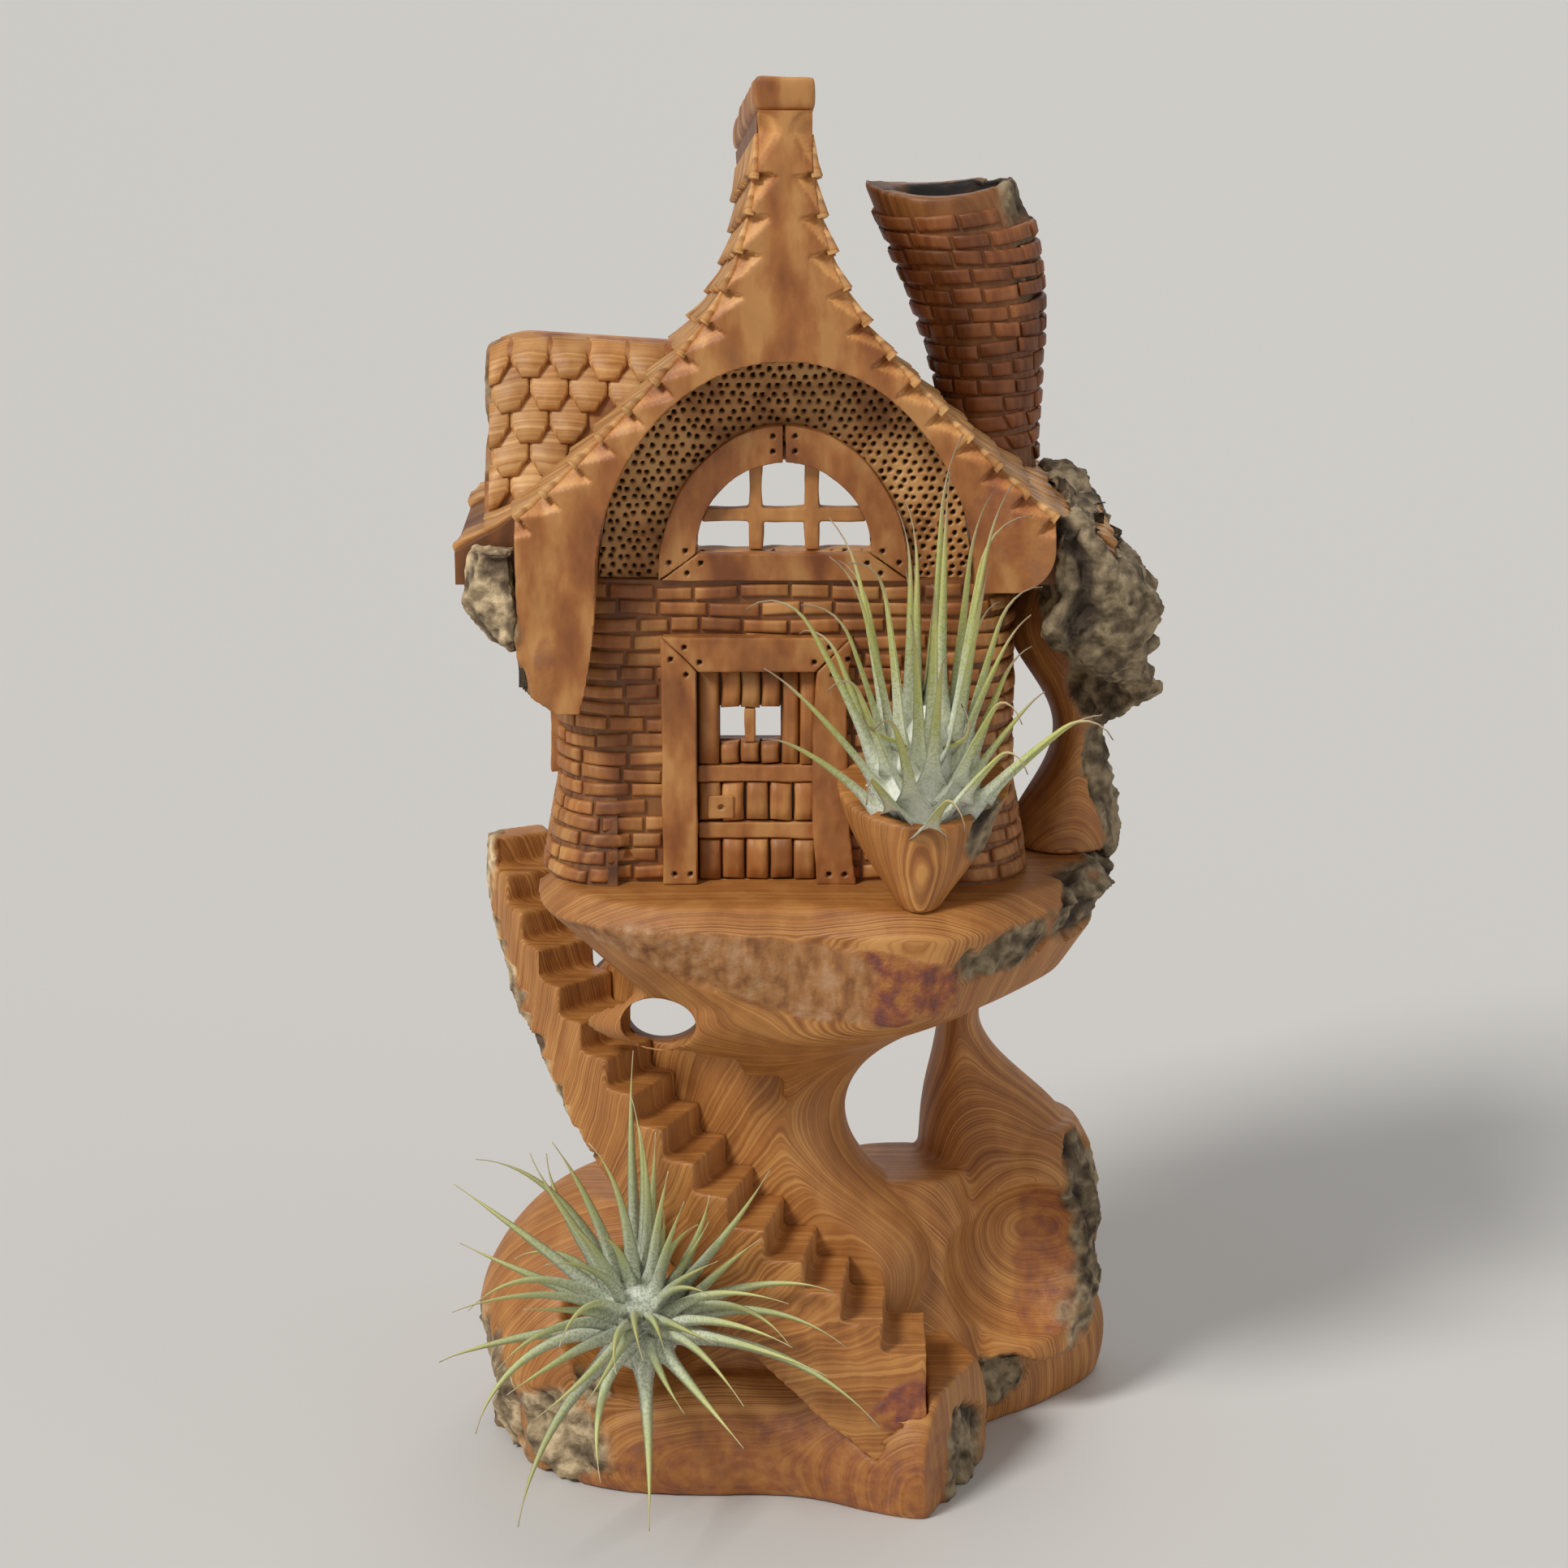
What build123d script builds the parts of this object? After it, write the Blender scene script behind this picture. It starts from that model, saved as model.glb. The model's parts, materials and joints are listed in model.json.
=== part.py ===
from build123d import *

import os
from math import cos, hypot, pi, radians, sin

# Air plant holder: a cottage carved from thick tree bark on a pierced stump, with a stair
# that winds up round the trunk, and two hollows that each hold one rootless plant.
# Millimetres, +Z up, the front faces -Y, the origin lies on the resting face.

# Levels, from the table upward
PLINTH_HEIGHT = 30.0
TRUNK_FOOT = 70.0
DECK_TOP = 157.0
DECK_EDGE = 27.0
WALL_HEIGHT = 74.0
RIDGE_RISE = 111.0
CAP_HEIGHT = 8.0
DECK_FOOT = DECK_TOP - DECK_EDGE
EAVE_Z = DECK_TOP + WALL_HEIGHT
RIDGE_Z = EAVE_Z + RIDGE_RISE

# Clearances and working reach
FIT = 0.2
PLANK_GAP = 0.4
REACH = 400.0

# Stump outlines, as radii at every thirty degrees counted from +X
BASE_CENTRE = (0.0, 4.0)
BASE_RADII = (51, 85, 57, 50, 57, 76, 78, 71, 53, 47, 66, 55)
DECK_CENTRE = (2.0, -8.0)
DECK_RADII = (76, 70, 53, 48, 53, 67, 67, 70, 58, 50, 61, 66)
DECK_FOOT_RADII = (61, 55, 48, 44, 46, 50, 46, 49, 48, 46, 56, 55)
OVAL_POINTS = 12
LEG_JOINT_X = 25.0
PIERCED_X = -35.0
PIERCED_Y = 8.0
PIERCED_SHARE = 0.66
PIERCED_FALL = 16.0
PIERCED_HALF_WIDTH = 9.0
PIERCED_HALF_HEIGHT = 6.0
PLINTH_SWELL = 2.0
PLINTH_DRAW_IN = 7.0
LOBE_FOOT = 18.0
SCOOP_POINT = (60.0, -11.0, 46.0)
SCOOP_RADIUS = 25.0
CORNER_POINT = (32.5, -49.0)
CORNER_TURN = 66.0
CORNER_END = -14.0

# Stump lumps, as ovals of (x, y, x radius, y radius, share of the lump's rise)
LEFT_LOBE = ((-46, 2, 34, 41, 0), (-47, 0, 36, 38, 0.3), (-45, 3, 32, 33, 0.6), (-38, 9, 19, 20, 0.9))
RIGHT_LOBE = ((50, 24, 26, 27, 0), (54, 24, 24, 25, 0.4), (56, 24, 21, 22, 0.8), (56, 24, 14, 15, 1.12))
SADDLE = ((22, 12, 28, 26, 0), (22, 12, 25, 22, 0.45), (22, 12, 20, 15, 0.96))
LEG_FOOT = ((50, 24, 22, 20, -0.25), (50, 24, 20, 18, 0.02), (44, 24, 12, 13, 0.3))
LEG_HEAD = ((40, 23, 5.5, 10, 0.53), (41.5, 20, 8.5, 12, 0.78), (45, 15, 16, 15, 1))
TRUNK_ROOT = ((-4, 0, 44, 36, 0), (-6, 0, 38, 32, 0.5))
TRUNK_NECK = ((-9, 0, 28, 27, 0), (-11, 0, 23.5, 24, 0.16), (-12, 0, 23, 23, 0.32), (-14, -2, 37, 30, 0.64))
DECK_BULGE = 0.8
DECK_DRAW_IN = 6.0
TRUNK_DRAW_IN = 1.0

# House body
HOUSE_X = -4.5
HOUSE_WIDTH = 108.0
HOUSE_DEPTH = 64.0
HOUSE_FRONT = -32.0
WALL = 7.0
CORNER_RADIUS = 14.0
FOOT_FLARE = 4.0
FLARE_HEIGHT = 22.0
REAR_OPENING = 66.0
BRICK_COURSES = 18
BRICK_HEIGHT = 3.2
BRICK_LENGTH = 9.4
BRICK_PROUD = 0.9
BRICK_JOINT = 0.85
JOINT_DEPTH = 0.6
BRICK_LEAST = 8.0
VAULT_LEDGE = 3.0
VAULT_RISE = 54.0
FRONT_HALF = HOUSE_WIDTH / 2 - CORNER_RADIUS
VAULT_HALF = HOUSE_WIDTH / 2 - WALL - VAULT_LEDGE
HOUSE_BACK = HOUSE_FRONT + HOUSE_DEPTH

# Roof: the flank is a curve from the ridge down to the eave, in shares of half width and rise
GABLE_OVERHANG = 14.0
GABLE_THICKNESS = 9.0
ROOF_BACK_OVERHANG = 6.0
EAVE_REACH = 23.0
FLANK = ((0.08, 1.0), (0.1, 0.79), (0.2, 0.6), (0.43, 0.405), (0.62, 0.27), (0.82, 0.145), (1.0, 0.07))
COURSES = 11
SHINGLE_BUTT = 2.4
SHINGLE_TIP = 0.5
RIDGE_DROP = 20.0
RIDGE_LEAN = -6.0
CAP_OVERHANG = 1.0
GABLE_FRONT = HOUSE_FRONT - GABLE_OVERHANG
ROOF_BACK = HOUSE_BACK + ROOF_BACK_OVERHANG
EAVE_HALF = HOUSE_WIDTH / 2 + EAVE_REACH
GABLE_HALF = 62.5
GABLE_HANG = 29.0
GABLE_TOE = 9.0
GABLE_TOE_RISE = 6.0
GABLE_HEEL = 4.0

# Side window in the left wall
SIDE_WINDOW_Y = -4.0
SIDE_WINDOW_WIDTH = 16.0
SIDE_WINDOW_HEIGHT = 18.0
SIDE_WINDOW_CLEAR = 1.0
SIDE_BOARD = 5.0
SIDE_BOARD_THICKNESS = 2.5

# Dormer and chimney
DORMER_SETBACK = 5.5
DORMER_LENGTH = 52.0
DORMER_Y = 1.0
DORMER_HALF = 22.0
DORMER_CROWN = 7.0
DORMER_SPRING = 48.0
DORMER_RISE = 53.5
DORMER_WALL = 5.0
DORMER_DEPTH = 26.0
DORMER_LEFT = HOUSE_X - EAVE_HALF + DORMER_SETBACK
DORMER_COLUMNS = 5
TILE_HALF_WIDTH = 4.4
TILE_HALF_HEIGHT = 4.9
TILE_THICKNESS = 1.6
TILE_KEPT = 0.33
CHIMNEY_RISE = 91.0
FLUE_DEPTH = 28.0
RIM_RADIUS = 60.0
RIM_DIP = 7.0
RIM_X = 34.5
STACK = (
    (50.5, -20, 12.5, 11, 0.066),
    (50, -19, 11.5, 11.5, 0.33),
    (48, -17.5, 14.5, 12.5, 0.55),
    (44, -16, 17.5, 14, 0.747),
    (35.5, -14, 18.5, 15, 1),
)
FLUE = ((46.5, -16.5, 9, 8, 0), (42.5, -15.5, 12, 9.5, 0.5), (35, -14, 14.5, 11.5, 1.04))

# Rough bark lumps beside the house, placed from its right or left wall
PILLAR = (
    (11.5, 6, 11.5, 15, -0.18),
    (14.5, 6, 13.5, 17, 0.02),
    (17.5, 8, 8.5, 13, 0.22),
    (18, 9, 6.3, 12, 0.42),
    (15, 8.5, 11.5, 14, 0.62),
    (13.5, 6, 12.5, 16, 0.82),
    (13.5, 4, 12, 18, 1),
)

# Rough bark under the eaves, as rectangles of (x, y, width, length, turn, share of the rise)
BARK_ROUND = 0.42
RIGHT_BARK_FOOT = 40.0
RIGHT_BARK_HEIGHT = 56.0
RIGHT_BARK = (
    (25, -4, 9, 20, -8, 0),
    (24, -6, 15, 46, 6, 0.28),
    (22, -8, 23, 66, -3, 0.46),
    (19, -9, 24, 72, 2, 0.66),
    (15.5, -9, 18, 72, 0, 0.84),
    (11, -9, 9, 72, 0, 1),
)
LEFT_BARK_FOOT = 15.0
LEFT_BARK_HEIGHT = 25.0
LEFT_BARK = (
    (-9.5, -29, 10, 28, 4, 0),
    (-11.5, -26, 16, 38, -3, 0.28),
    (-13, -24, 18, 43, 0, 0.64),
    (-13.5, -24, 12, 43, 0, 1),
)

# Knobs on the bark, as (x, y, height above the bark's foot, radius)
RIGHT_KNOBS = ((13, -38, 31, 7), (23, -37, 36, 8), (29, -24, 24, 6.5), (29.5, -3, 30, 6.5), (25, 12, 18, 7))
LEFT_KNOBS = ((-17, -38, 13, 6), (-10, -40, 8, 5.5), (-16, -20, 11, 6))

# Stair: sixteen treads along a curve in plan, climbing clockwise round the trunk
TREADS = 16
STAIR_FOOT = (30.0, -37.0)
STAIR_TURN = (-52.0, -37.0)
STAIR_HEAD = (-73.0, 20.0)
STAIR_WIDTH_FOOT = 26.0
STAIR_WIDTH_HEAD = 15.0
FIRST_TREAD = 42.0
LANDING_DROP = 2.0
RAMP_STATIONS = 7
RAMP_COVER = 5.0
RAMP_DEPTH_FOOT = 30.0
RAMP_DEPTH_HEAD = 17.0
RAMP_FLARE = 4.0
HEADROOM = 34.0
OVERRUN = 1.0
LANDING = DECK_TOP - LANDING_DROP
RISE = (LANDING - FIRST_TREAD) / (TREADS - 1)

# Door and window joinery on the front wall
DOOR_SHIFT = -6.7
DOOR_WIDTH = 28.4
DOOR_HEIGHT = 52.5
DOOR_RECESS = 4.0
FRAME_BOARD = 8.3
FRAME_THICKNESS = 3.5
PLANK_THICKNESS = 3.4
BATTEN_HEIGHT = 4.0
BATTEN_PROUD = 0.4
LOWER_BATTEN = 10.6
UPPER_BATTEN = 24.7
LIGHT_FOOT = 34.3
LIGHT_HEIGHT = 8.2
LIGHT_WIDTH = 14.4
LIGHT_SHIFT = -1.6
MULLION = 2.5
LOCK_WIDTH = 6.4
LOCK_HEIGHT = 5.6
LOCK_INSET = 2.4
LOCK_LIFT = 1.0
LOCK_THICKNESS = 1.0
JAMB_BOW = 1.2
JAMB_BOW_SHARE = 0.6
PANEL_SETBACK = 2.0
PANEL_THICKNESS = 6.0
SILL_HEIGHT = 6.5
ARCH_BOARD = 9.0
WINDOW_HALF = 29.5
WINDOW_RISE = 37.0
LATTICE_BAR = 3.2
LATTICE_THICKNESS = 3.0
LATTICE_SPACING = 13.2
CROSSBAR_RISE = 13.5
WINDOW_SHIFT = -0.3
LONG_PLANKS = 5
SHORT_PLANKS = 3
DOOR_X = HOUSE_X + DOOR_SHIFT
LIGHT_X = DOOR_X + LIGHT_SHIFT
WINDOW_X = HOUSE_X + WINDOW_SHIFT

# Planting hollows, each open along an axis that leans forward from upright
POCKET_SHIFT = 32.5
POCKET_REACH = 14.0
POCKET_RIM = 26.0
POCKET_RIM_TILT = 18.0
POCKET_TILT = 25.0
POCKET_BORE = 12.5
POCKET_CUP = ((-1, -3, 5, 8, 0), (-0.5, 1, 13, 14, 0.42), (0, 3, 19, 17, 0.85), (0, 4, 21, 19, 1.25))
HOLLOW_POINT = (-40.0, -41.0, 48.0)
HOLLOW_TILT = 47.0
HOLLOW_BORE = 23.0
MOUTH_FLARE = 12.0
MOUTH_LENGTH = 70.0
POCKET_X = HOUSE_X + POCKET_SHIFT
POCKET_Y = HOUSE_FRONT - POCKET_REACH

# Air plants: a bulb and leaves that fan out by the golden angle; pairs run from outer leaf to inner
SEAT_GAP = 0.4
GOLDEN_ANGLE = radians(137.508)
LEAF_SPANS = 4
LEAF_TIP = 0.5
LEAF_THICKNESS = 1.7
ROOT_RADIUS = 3.0
BULB_SHOULDER = (0.85, 0.45)
UPPER_BULB_NECK = 5.5
UPPER_BULB_HEIGHT = 19.0
LOWER_BULB_RADIUS = 11.0
LOWER_BULB_NECK = 5.0
LOWER_BULB_HEIGHT = 13.0
UPPER_PLANT = {
    "count": 26,
    "roots": (3, 17),
    "root_leans": (52, 6),
    "tip_leans": (74, 13),
    "lengths": (36, 78),
    "widths": (4.6, 3.6),
    "held_back": 0.8,
    "held_right": 0.0,
}
LOWER_PLANT = {
    "count": 32,
    "roots": (4, 12),
    "root_leans": (76, 10),
    "tip_leans": (100, 26),
    "lengths": (51, 57),
    "widths": (5.2, 4.2),
    "held_back": 0.5,
    "held_right": 0.15,
}


def outline(centre, radii, z):
    """Closed smooth outline through evenly spaced radii round a centre, counted from +X."""
    step = 2 * pi / len(radii)
    points = [(r * cos(i * step), r * sin(i * step)) for i, r in enumerate(radii)]
    return Pos(*centre, z) * make_face(Spline(*points, periodic=True))


def ovals(sections, foot, rise):
    """Closed smooth ovals given as (x, y, x radius, y radius, share of the rise)."""
    step = 2 * pi / OVAL_POINTS
    faces = []
    for x, y, x_radius, y_radius, share in sections:
        points = [(x_radius * cos(i * step), y_radius * sin(i * step)) for i in range(OVAL_POINTS)]
        faces.append(Pos(x, y, foot + share * rise) * make_face(Spline(*points, periodic=True)))
    return faces


def lump(sections, foot, rise):
    """Smooth body through ovals from a foot level upward."""
    return loft(ovals(sections, foot, rise))


def rough_lump(sections, knobs, foot, rise):
    """Blocky body through round-cornered rectangles from a foot level upward, with round knobs."""
    faces = []
    for x, y, width, length, turn, share in sections:
        face = RectangleRounded(width, length, width * BARK_ROUND)
        faces.append(Pos(x, y, foot + share * rise) * Rot(0, 0, turn) * face)
    return loft(faces) + [Pos(x, y, foot + z) * Sphere(radius) for x, y, z, radius in knobs]


def slab(low, high):
    """Wide block between two levels, for cutting a body across."""
    return Pos(0, 0, low) * Box(REACH, REACH, high - low, align=(Align.CENTER, Align.CENTER, Align.MIN))


def span_x(low, high):
    """Wide block between two X planes."""
    return Pos(low, 0, 0) * Box(high - low, REACH, 2 * REACH, align=(Align.MIN, Align.CENTER, Align.CENTER))


def span_y(low, high):
    """Wide block between two Y planes."""
    return Pos(0, low, 0) * Box(REACH, high - low, 2 * REACH, align=(Align.CENTER, Align.MIN, Align.CENTER))


def upright(face, back, depth):
    """Solid of a front-view outline drawn in (X, Z), from the plane Y = back towards the front."""
    return extrude(Plane.XZ.offset(-back) * face, depth)


def panel(x_low, x_high, z_low, z_high):
    """Front-view rectangle between two X values and two levels."""
    return Pos((x_low + x_high) / 2, (z_low + z_high) / 2) * Rectangle(x_high - x_low, z_high - z_low)


def polygon(*points):
    """Flat outline with straight edges."""
    return make_face(Polyline(*points, close=True))


def facet(points):
    """Flat face through corner points in space."""
    return Face(Wire.make_polygon([Vector(p) for p in points]))


# Stair path in plan: a quadratic curve from the foot by the turn to the head
def stair_point(t):
    """Plan point of the walking line at share t of the climb."""
    a, b, c = (1 - t) ** 2, 2 * t * (1 - t), t ** 2
    x = a * STAIR_FOOT[0] + b * STAIR_TURN[0] + c * STAIR_HEAD[0]
    y = a * STAIR_FOOT[1] + b * STAIR_TURN[1] + c * STAIR_HEAD[1]
    return x, y


def stair_side(t):
    """Unit plan vector from the walking line towards the trunk."""
    dx = (1 - t) * (STAIR_TURN[0] - STAIR_FOOT[0]) + t * (STAIR_HEAD[0] - STAIR_TURN[0])
    dy = (1 - t) * (STAIR_TURN[1] - STAIR_FOOT[1]) + t * (STAIR_HEAD[1] - STAIR_TURN[1])
    size = hypot(dx, dy)
    return dy / size, -dx / size


def stair_edge(t, reach):
    """Plan point at a distance from the walking line, positive towards the trunk."""
    x, y = stair_point(t)
    nx, ny = stair_side(t)
    return x + reach * nx, y + reach * ny


def half_width(t):
    """Half of the stair's width at share t of the climb."""
    return (STAIR_WIDTH_FOOT + t * (STAIR_WIDTH_HEAD - STAIR_WIDTH_FOOT)) / 2


def step_block(i, low, high):
    """Block over one tread's plan, between two levels."""
    t0, t1 = i / TREADS, (i + 1) / TREADS
    corners = [
        stair_edge(t0, half_width(t0)),
        stair_edge(t1, half_width(t1)),
        stair_edge(t1, -half_width(t1)),
        stair_edge(t0, -half_width(t0)),
    ]
    return Pos(0, 0, low) * extrude(polygon(*corners), high - low)


def make_stair():
    """Sixteen solid treads, each overlapping the one below it by a riser."""
    treads = []
    for i in range(TREADS):
        top = FIRST_TREAD + i * RISE
        treads.append(step_block(i, top - 2 * RISE, top))
    return treads[0] + treads[1:]


def make_ramp():
    """Carved mass that carries the treads, spreading outward towards its foot."""
    sections = []
    for k in range(RAMP_STATIONS):
        t = k / (RAMP_STATIONS - 1)
        level = FIRST_TREAD - RISE + t * (LANDING - FIRST_TREAD + RISE)
        top = level - RAMP_COVER
        low = level - (RAMP_DEPTH_FOOT + t * (RAMP_DEPTH_HEAD - RAMP_DEPTH_FOOT))
        inner = stair_edge(t, half_width(t))
        outer = stair_edge(t, -half_width(t))
        spread = stair_edge(t, -half_width(t) - RAMP_FLARE * (1 - t))
        sections.append(facet([(*inner, top), (*outer, top), (*spread, low), (*inner, low)]))
    return loft(sections, ruled=True)


def tilted(point, tilt):
    """Plane at a point whose normal leans from +Z towards the front by tilt degrees."""
    lean = radians(tilt)
    return Plane(origin=point, x_dir=(1, 0, 0), z_dir=(0, -sin(lean), cos(lean)))


def bowl(plane, bore):
    """Round-bottomed hollow with a mouth that widens along the plane's normal."""
    side = Line((bore, 0), (bore + MOUTH_FLARE, MOUTH_LENGTH))
    top = Line((bore + MOUTH_FLARE, MOUTH_LENGTH), (0, MOUTH_LENGTH))
    axis = Line((0, MOUTH_LENGTH), (0, -bore))
    floor = ThreePointArc((0, -bore), (bore * sin(pi / 4), -bore * cos(pi / 4)), (bore, 0))
    profile = make_face(side + top + axis + floor)
    return plane * revolve(Plane.XZ * profile, Axis.Z)


# The stump is shaped whole and then parted at level joints and at the pierced gap
def make_stump(stair):
    """Base, trunk and leg in one mass before it is parted, the deck, and what is cut from the base."""
    centre, radii = BASE_CENTRE, BASE_RADII
    plinth = loft([
        outline(centre, radii, 0),
        outline(centre, [r + PLINTH_SWELL for r in radii], PLINTH_HEIGHT / 2),
        outline(centre, [r - PLINTH_DRAW_IN for r in radii], PLINTH_HEIGHT),
    ])
    lobe_rise = TRUNK_FOOT - LOBE_FOOT
    lobes = [lump(sections, LOBE_FOOT, lobe_rise) for sections in (LEFT_LOBE, RIGHT_LOBE, SADDLE)]
    neck = DECK_FOOT - TRUNK_FOOT
    leg = lump(LEG_FOOT + LEG_HEAD, TRUNK_FOOT, neck)
    trunk = loft([
        *ovals(TRUNK_ROOT, LOBE_FOOT, lobe_rise),
        *ovals(TRUNK_NECK, TRUNK_FOOT, neck),
        outline(DECK_CENTRE, DECK_FOOT_RADII, DECK_FOOT),
        outline(DECK_CENTRE, DECK_RADII, DECK_FOOT + DECK_BULGE * DECK_EDGE),
        outline(DECK_CENTRE, [r - TRUNK_DRAW_IN for r in DECK_RADII], DECK_TOP),
    ])
    lip = loft([
        outline(DECK_CENTRE, DECK_FOOT_RADII, DECK_FOOT),
        outline(DECK_CENTRE, DECK_RADII, DECK_FOOT + DECK_BULGE * DECK_EDGE),
        outline(DECK_CENTRE, [r - DECK_DRAW_IN for r in DECK_RADII], DECK_TOP),
    ], ruled=True)
    hollow = bowl(tilted(HOLLOW_POINT, HOLLOW_TILT), HOLLOW_BORE)
    eye = Pos(PIERCED_X, PIERCED_Y, TRUNK_FOOT + PIERCED_SHARE * neck)
    eye_outline = Ellipse(PIERCED_HALF_WIDTH, PIERCED_HALF_HEIGHT)
    pierced = eye * Rot(90 - PIERCED_FALL, 0, 0) * extrude(eye_outline, REACH, both=True)
    scoop = Pos(*SCOOP_POINT) * Sphere(SCOOP_RADIUS)
    corner = Pos(*CORNER_POINT, 0) * Rot(0, 0, CORNER_TURN)
    beyond = Box(REACH, REACH, REACH, align=(Align.CENTER, Align.MAX, Align.CENTER))
    corner_cut = (corner * beyond) & span_y(-REACH, CORNER_END) & span_x(0, REACH)
    wells = []
    for i in range(TREADS):
        top = FIRST_TREAD + i * RISE
        wells.append(step_block(i, top, min(top + HEADROOM, DECK_TOP + OVERRUN)))
    base = plinth + [*lobes, trunk, leg]
    base = base - [hollow, pierced, stair, *wells]
    return base, lip - [stair, *wells], [scoop, corner_cut]


stair_flight = make_stair() + make_ramp()
stump, deck, base_cuts = make_stump(stair_flight)
stem = stump & slab(TRUNK_FOOT, DECK_FOOT)
nodes = {"stair_flight": stair_flight}
nodes["base_block"] = (stump & slab(0, TRUNK_FOOT)) - base_cuts
nodes["trunk"] = stem & span_x(-REACH, LEG_JOINT_X)
nodes["rear_leg"] = stem & span_x(LEG_JOINT_X, REACH)
nodes["deck"] = deck


# House walls: one rounded ring open at the rear, parted into a front and two sides
def house_plan(grow, radius):
    """Rounded plan of the house, grown outward by a distance."""
    place = Pos(HOUSE_X, (HOUSE_FRONT + HOUSE_BACK) / 2)
    return place * RectangleRounded(HOUSE_WIDTH + 2 * grow, HOUSE_DEPTH + 2 * grow, radius)


def make_walls():
    """Front wall with its door recess, left wall with a side window, right wall."""
    floor = Pos(0, 0, DECK_TOP)
    plain = floor * extrude(house_plan(0, CORNER_RADIUS), WALL_HEIGHT)
    skirt = loft([
        floor * house_plan(FOOT_FLARE, CORNER_RADIUS + FOOT_FLARE),
        floor * Pos(0, 0, FLARE_HEIGHT) * house_plan(0, CORNER_RADIUS),
    ], ruled=True)
    room = floor * extrude(house_plan(-WALL, CORNER_RADIUS - WALL), WALL_HEIGHT)
    half = REAR_OPENING / 2
    rear = span_x(HOUSE_X - half, HOUSE_X + half) & span_y(HOUSE_FRONT + HOUSE_DEPTH / 2, REACH / 2)
    front = (plain - room) & span_x(HOUSE_X - FRONT_HALF, HOUSE_X + FRONT_HALF) & span_y(-REACH, 0)
    leaf_half = DOOR_WIDTH / 2
    recess = panel(DOOR_X - leaf_half, DOOR_X + leaf_half, DECK_TOP, DECK_TOP + DOOR_HEIGHT)
    front = front - upright(recess, HOUSE_FRONT + DOOR_RECESS, DOOR_RECESS)
    front = front - upright(door_light(), HOUSE_FRONT + WALL, WALL)
    sides = (plain + skirt) - room - rear
    left = sides & span_x(-REACH, HOUSE_X - FRONT_HALF)
    right = sides & span_x(HOUSE_X + FRONT_HALF, REACH)
    left = left - extrude(side_view(side_window(0), HOUSE_X - HOUSE_WIDTH / 2 - WALL), 3 * WALL)
    return front, left, right


def door_light():
    """Front-view outline of the pierced light in the door."""
    foot = DECK_TOP + LIGHT_FOOT
    return panel(LIGHT_X - LIGHT_WIDTH / 2, LIGHT_X + LIGHT_WIDTH / 2, foot, foot + LIGHT_HEIGHT)


def side_view(face, x):
    """Outline drawn in (Y, Z), set in the plane X = x facing +X."""
    return Plane.YZ.offset(x) * face


def side_window(grow):
    """Side-view outline of the left window opening, grown outward by a distance."""
    foot = DECK_TOP + FLARE_HEIGHT + SIDE_BOARD + SIDE_WINDOW_CLEAR
    high = foot + SIDE_WINDOW_HEIGHT
    half = SIDE_WINDOW_WIDTH / 2
    return panel(SIDE_WINDOW_Y - half - grow, SIDE_WINDOW_Y + half + grow, foot - grow, high + grow)


nodes["front_wall"], nodes["left_wall"], nodes["right_wall"] = make_walls()
side_face = HOUSE_X - HOUSE_WIDTH / 2
side_frame = side_view(side_window(SIDE_BOARD) - side_window(0), side_face - SIDE_BOARD_THICKNESS)
nodes["side_window_frame"] = extrude(side_frame, SIDE_BOARD_THICKNESS)


def arch(x, z, half, rise):
    """Front-view half ellipse standing on a level foot line."""
    return (Pos(x, z) * Ellipse(half, rise)) & panel(x - half, x + half, z, z + rise)


# Roof: a ruled body between a front outline and a back one that is lower and leans to the left
flank_curve = Spline(*[(EAVE_HALF * a, RIDGE_RISE * b) for a, b in FLANK])
stations = [flank_curve @ (k / COURSES) for k in range(COURSES + 1)]


def roof_point(side, half, rise, at_back):
    """Point of the front or back roof outline, from a half width and a rise above the eave."""
    share = rise / RIDGE_RISE
    if at_back:
        return HOUSE_X + side * half + RIDGE_LEAN * share, ROOF_BACK, EAVE_Z + rise - RIDGE_DROP * share
    return HOUSE_X + side * half, GABLE_FRONT, EAVE_Z + rise


def roof_outline(at_back):
    """Whole roof outline at one end, closed along the eave level."""
    left = [roof_point(-1, p.X, p.Y, at_back) for p in reversed(stations)]
    right = [roof_point(1, p.X, p.Y, at_back) for p in stations]
    foot_left = roof_point(-1, EAVE_HALF, 0, at_back)
    foot_right = roof_point(1, EAVE_HALF, 0, at_back)
    return facet([foot_left, *left, *right, foot_right])


def station_normal(k):
    """Outward unit normal of the flank at one station, in (half width, rise)."""
    before, after = stations[max(k - 1, 0)], stations[min(k + 1, COURSES)]
    dx, dz = after.X - before.X, after.Y - before.Y
    size = hypot(dx, dz)
    return -dz / size, dx / size


def shingle_course(side, k):
    """One course: a wedge on the roof from front to back, thick at its lower butt."""
    ends = []
    for at_back in (False, True):
        corners = []
        for station, lift in ((k, 0), (k + 1, 0), (k + 1, SHINGLE_BUTT), (k, SHINGLE_TIP)):
            nx, nz = station_normal(station)
            point = stations[station]
            corners.append(roof_point(side, point.X + lift * nx, point.Y + lift * nz, at_back))
        ends.append(facet(corners))
    return loft(ends, ruled=True)


def left_of_ridge():
    """Tall block on the left of the leaning ridge line."""
    plan = polygon(
        (-REACH, GABLE_FRONT),
        (HOUSE_X, GABLE_FRONT),
        (HOUSE_X + RIDGE_LEAN, ROOF_BACK),
        (-REACH, ROOF_BACK),
    )
    return extrude(plan, 2 * REACH)


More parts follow.
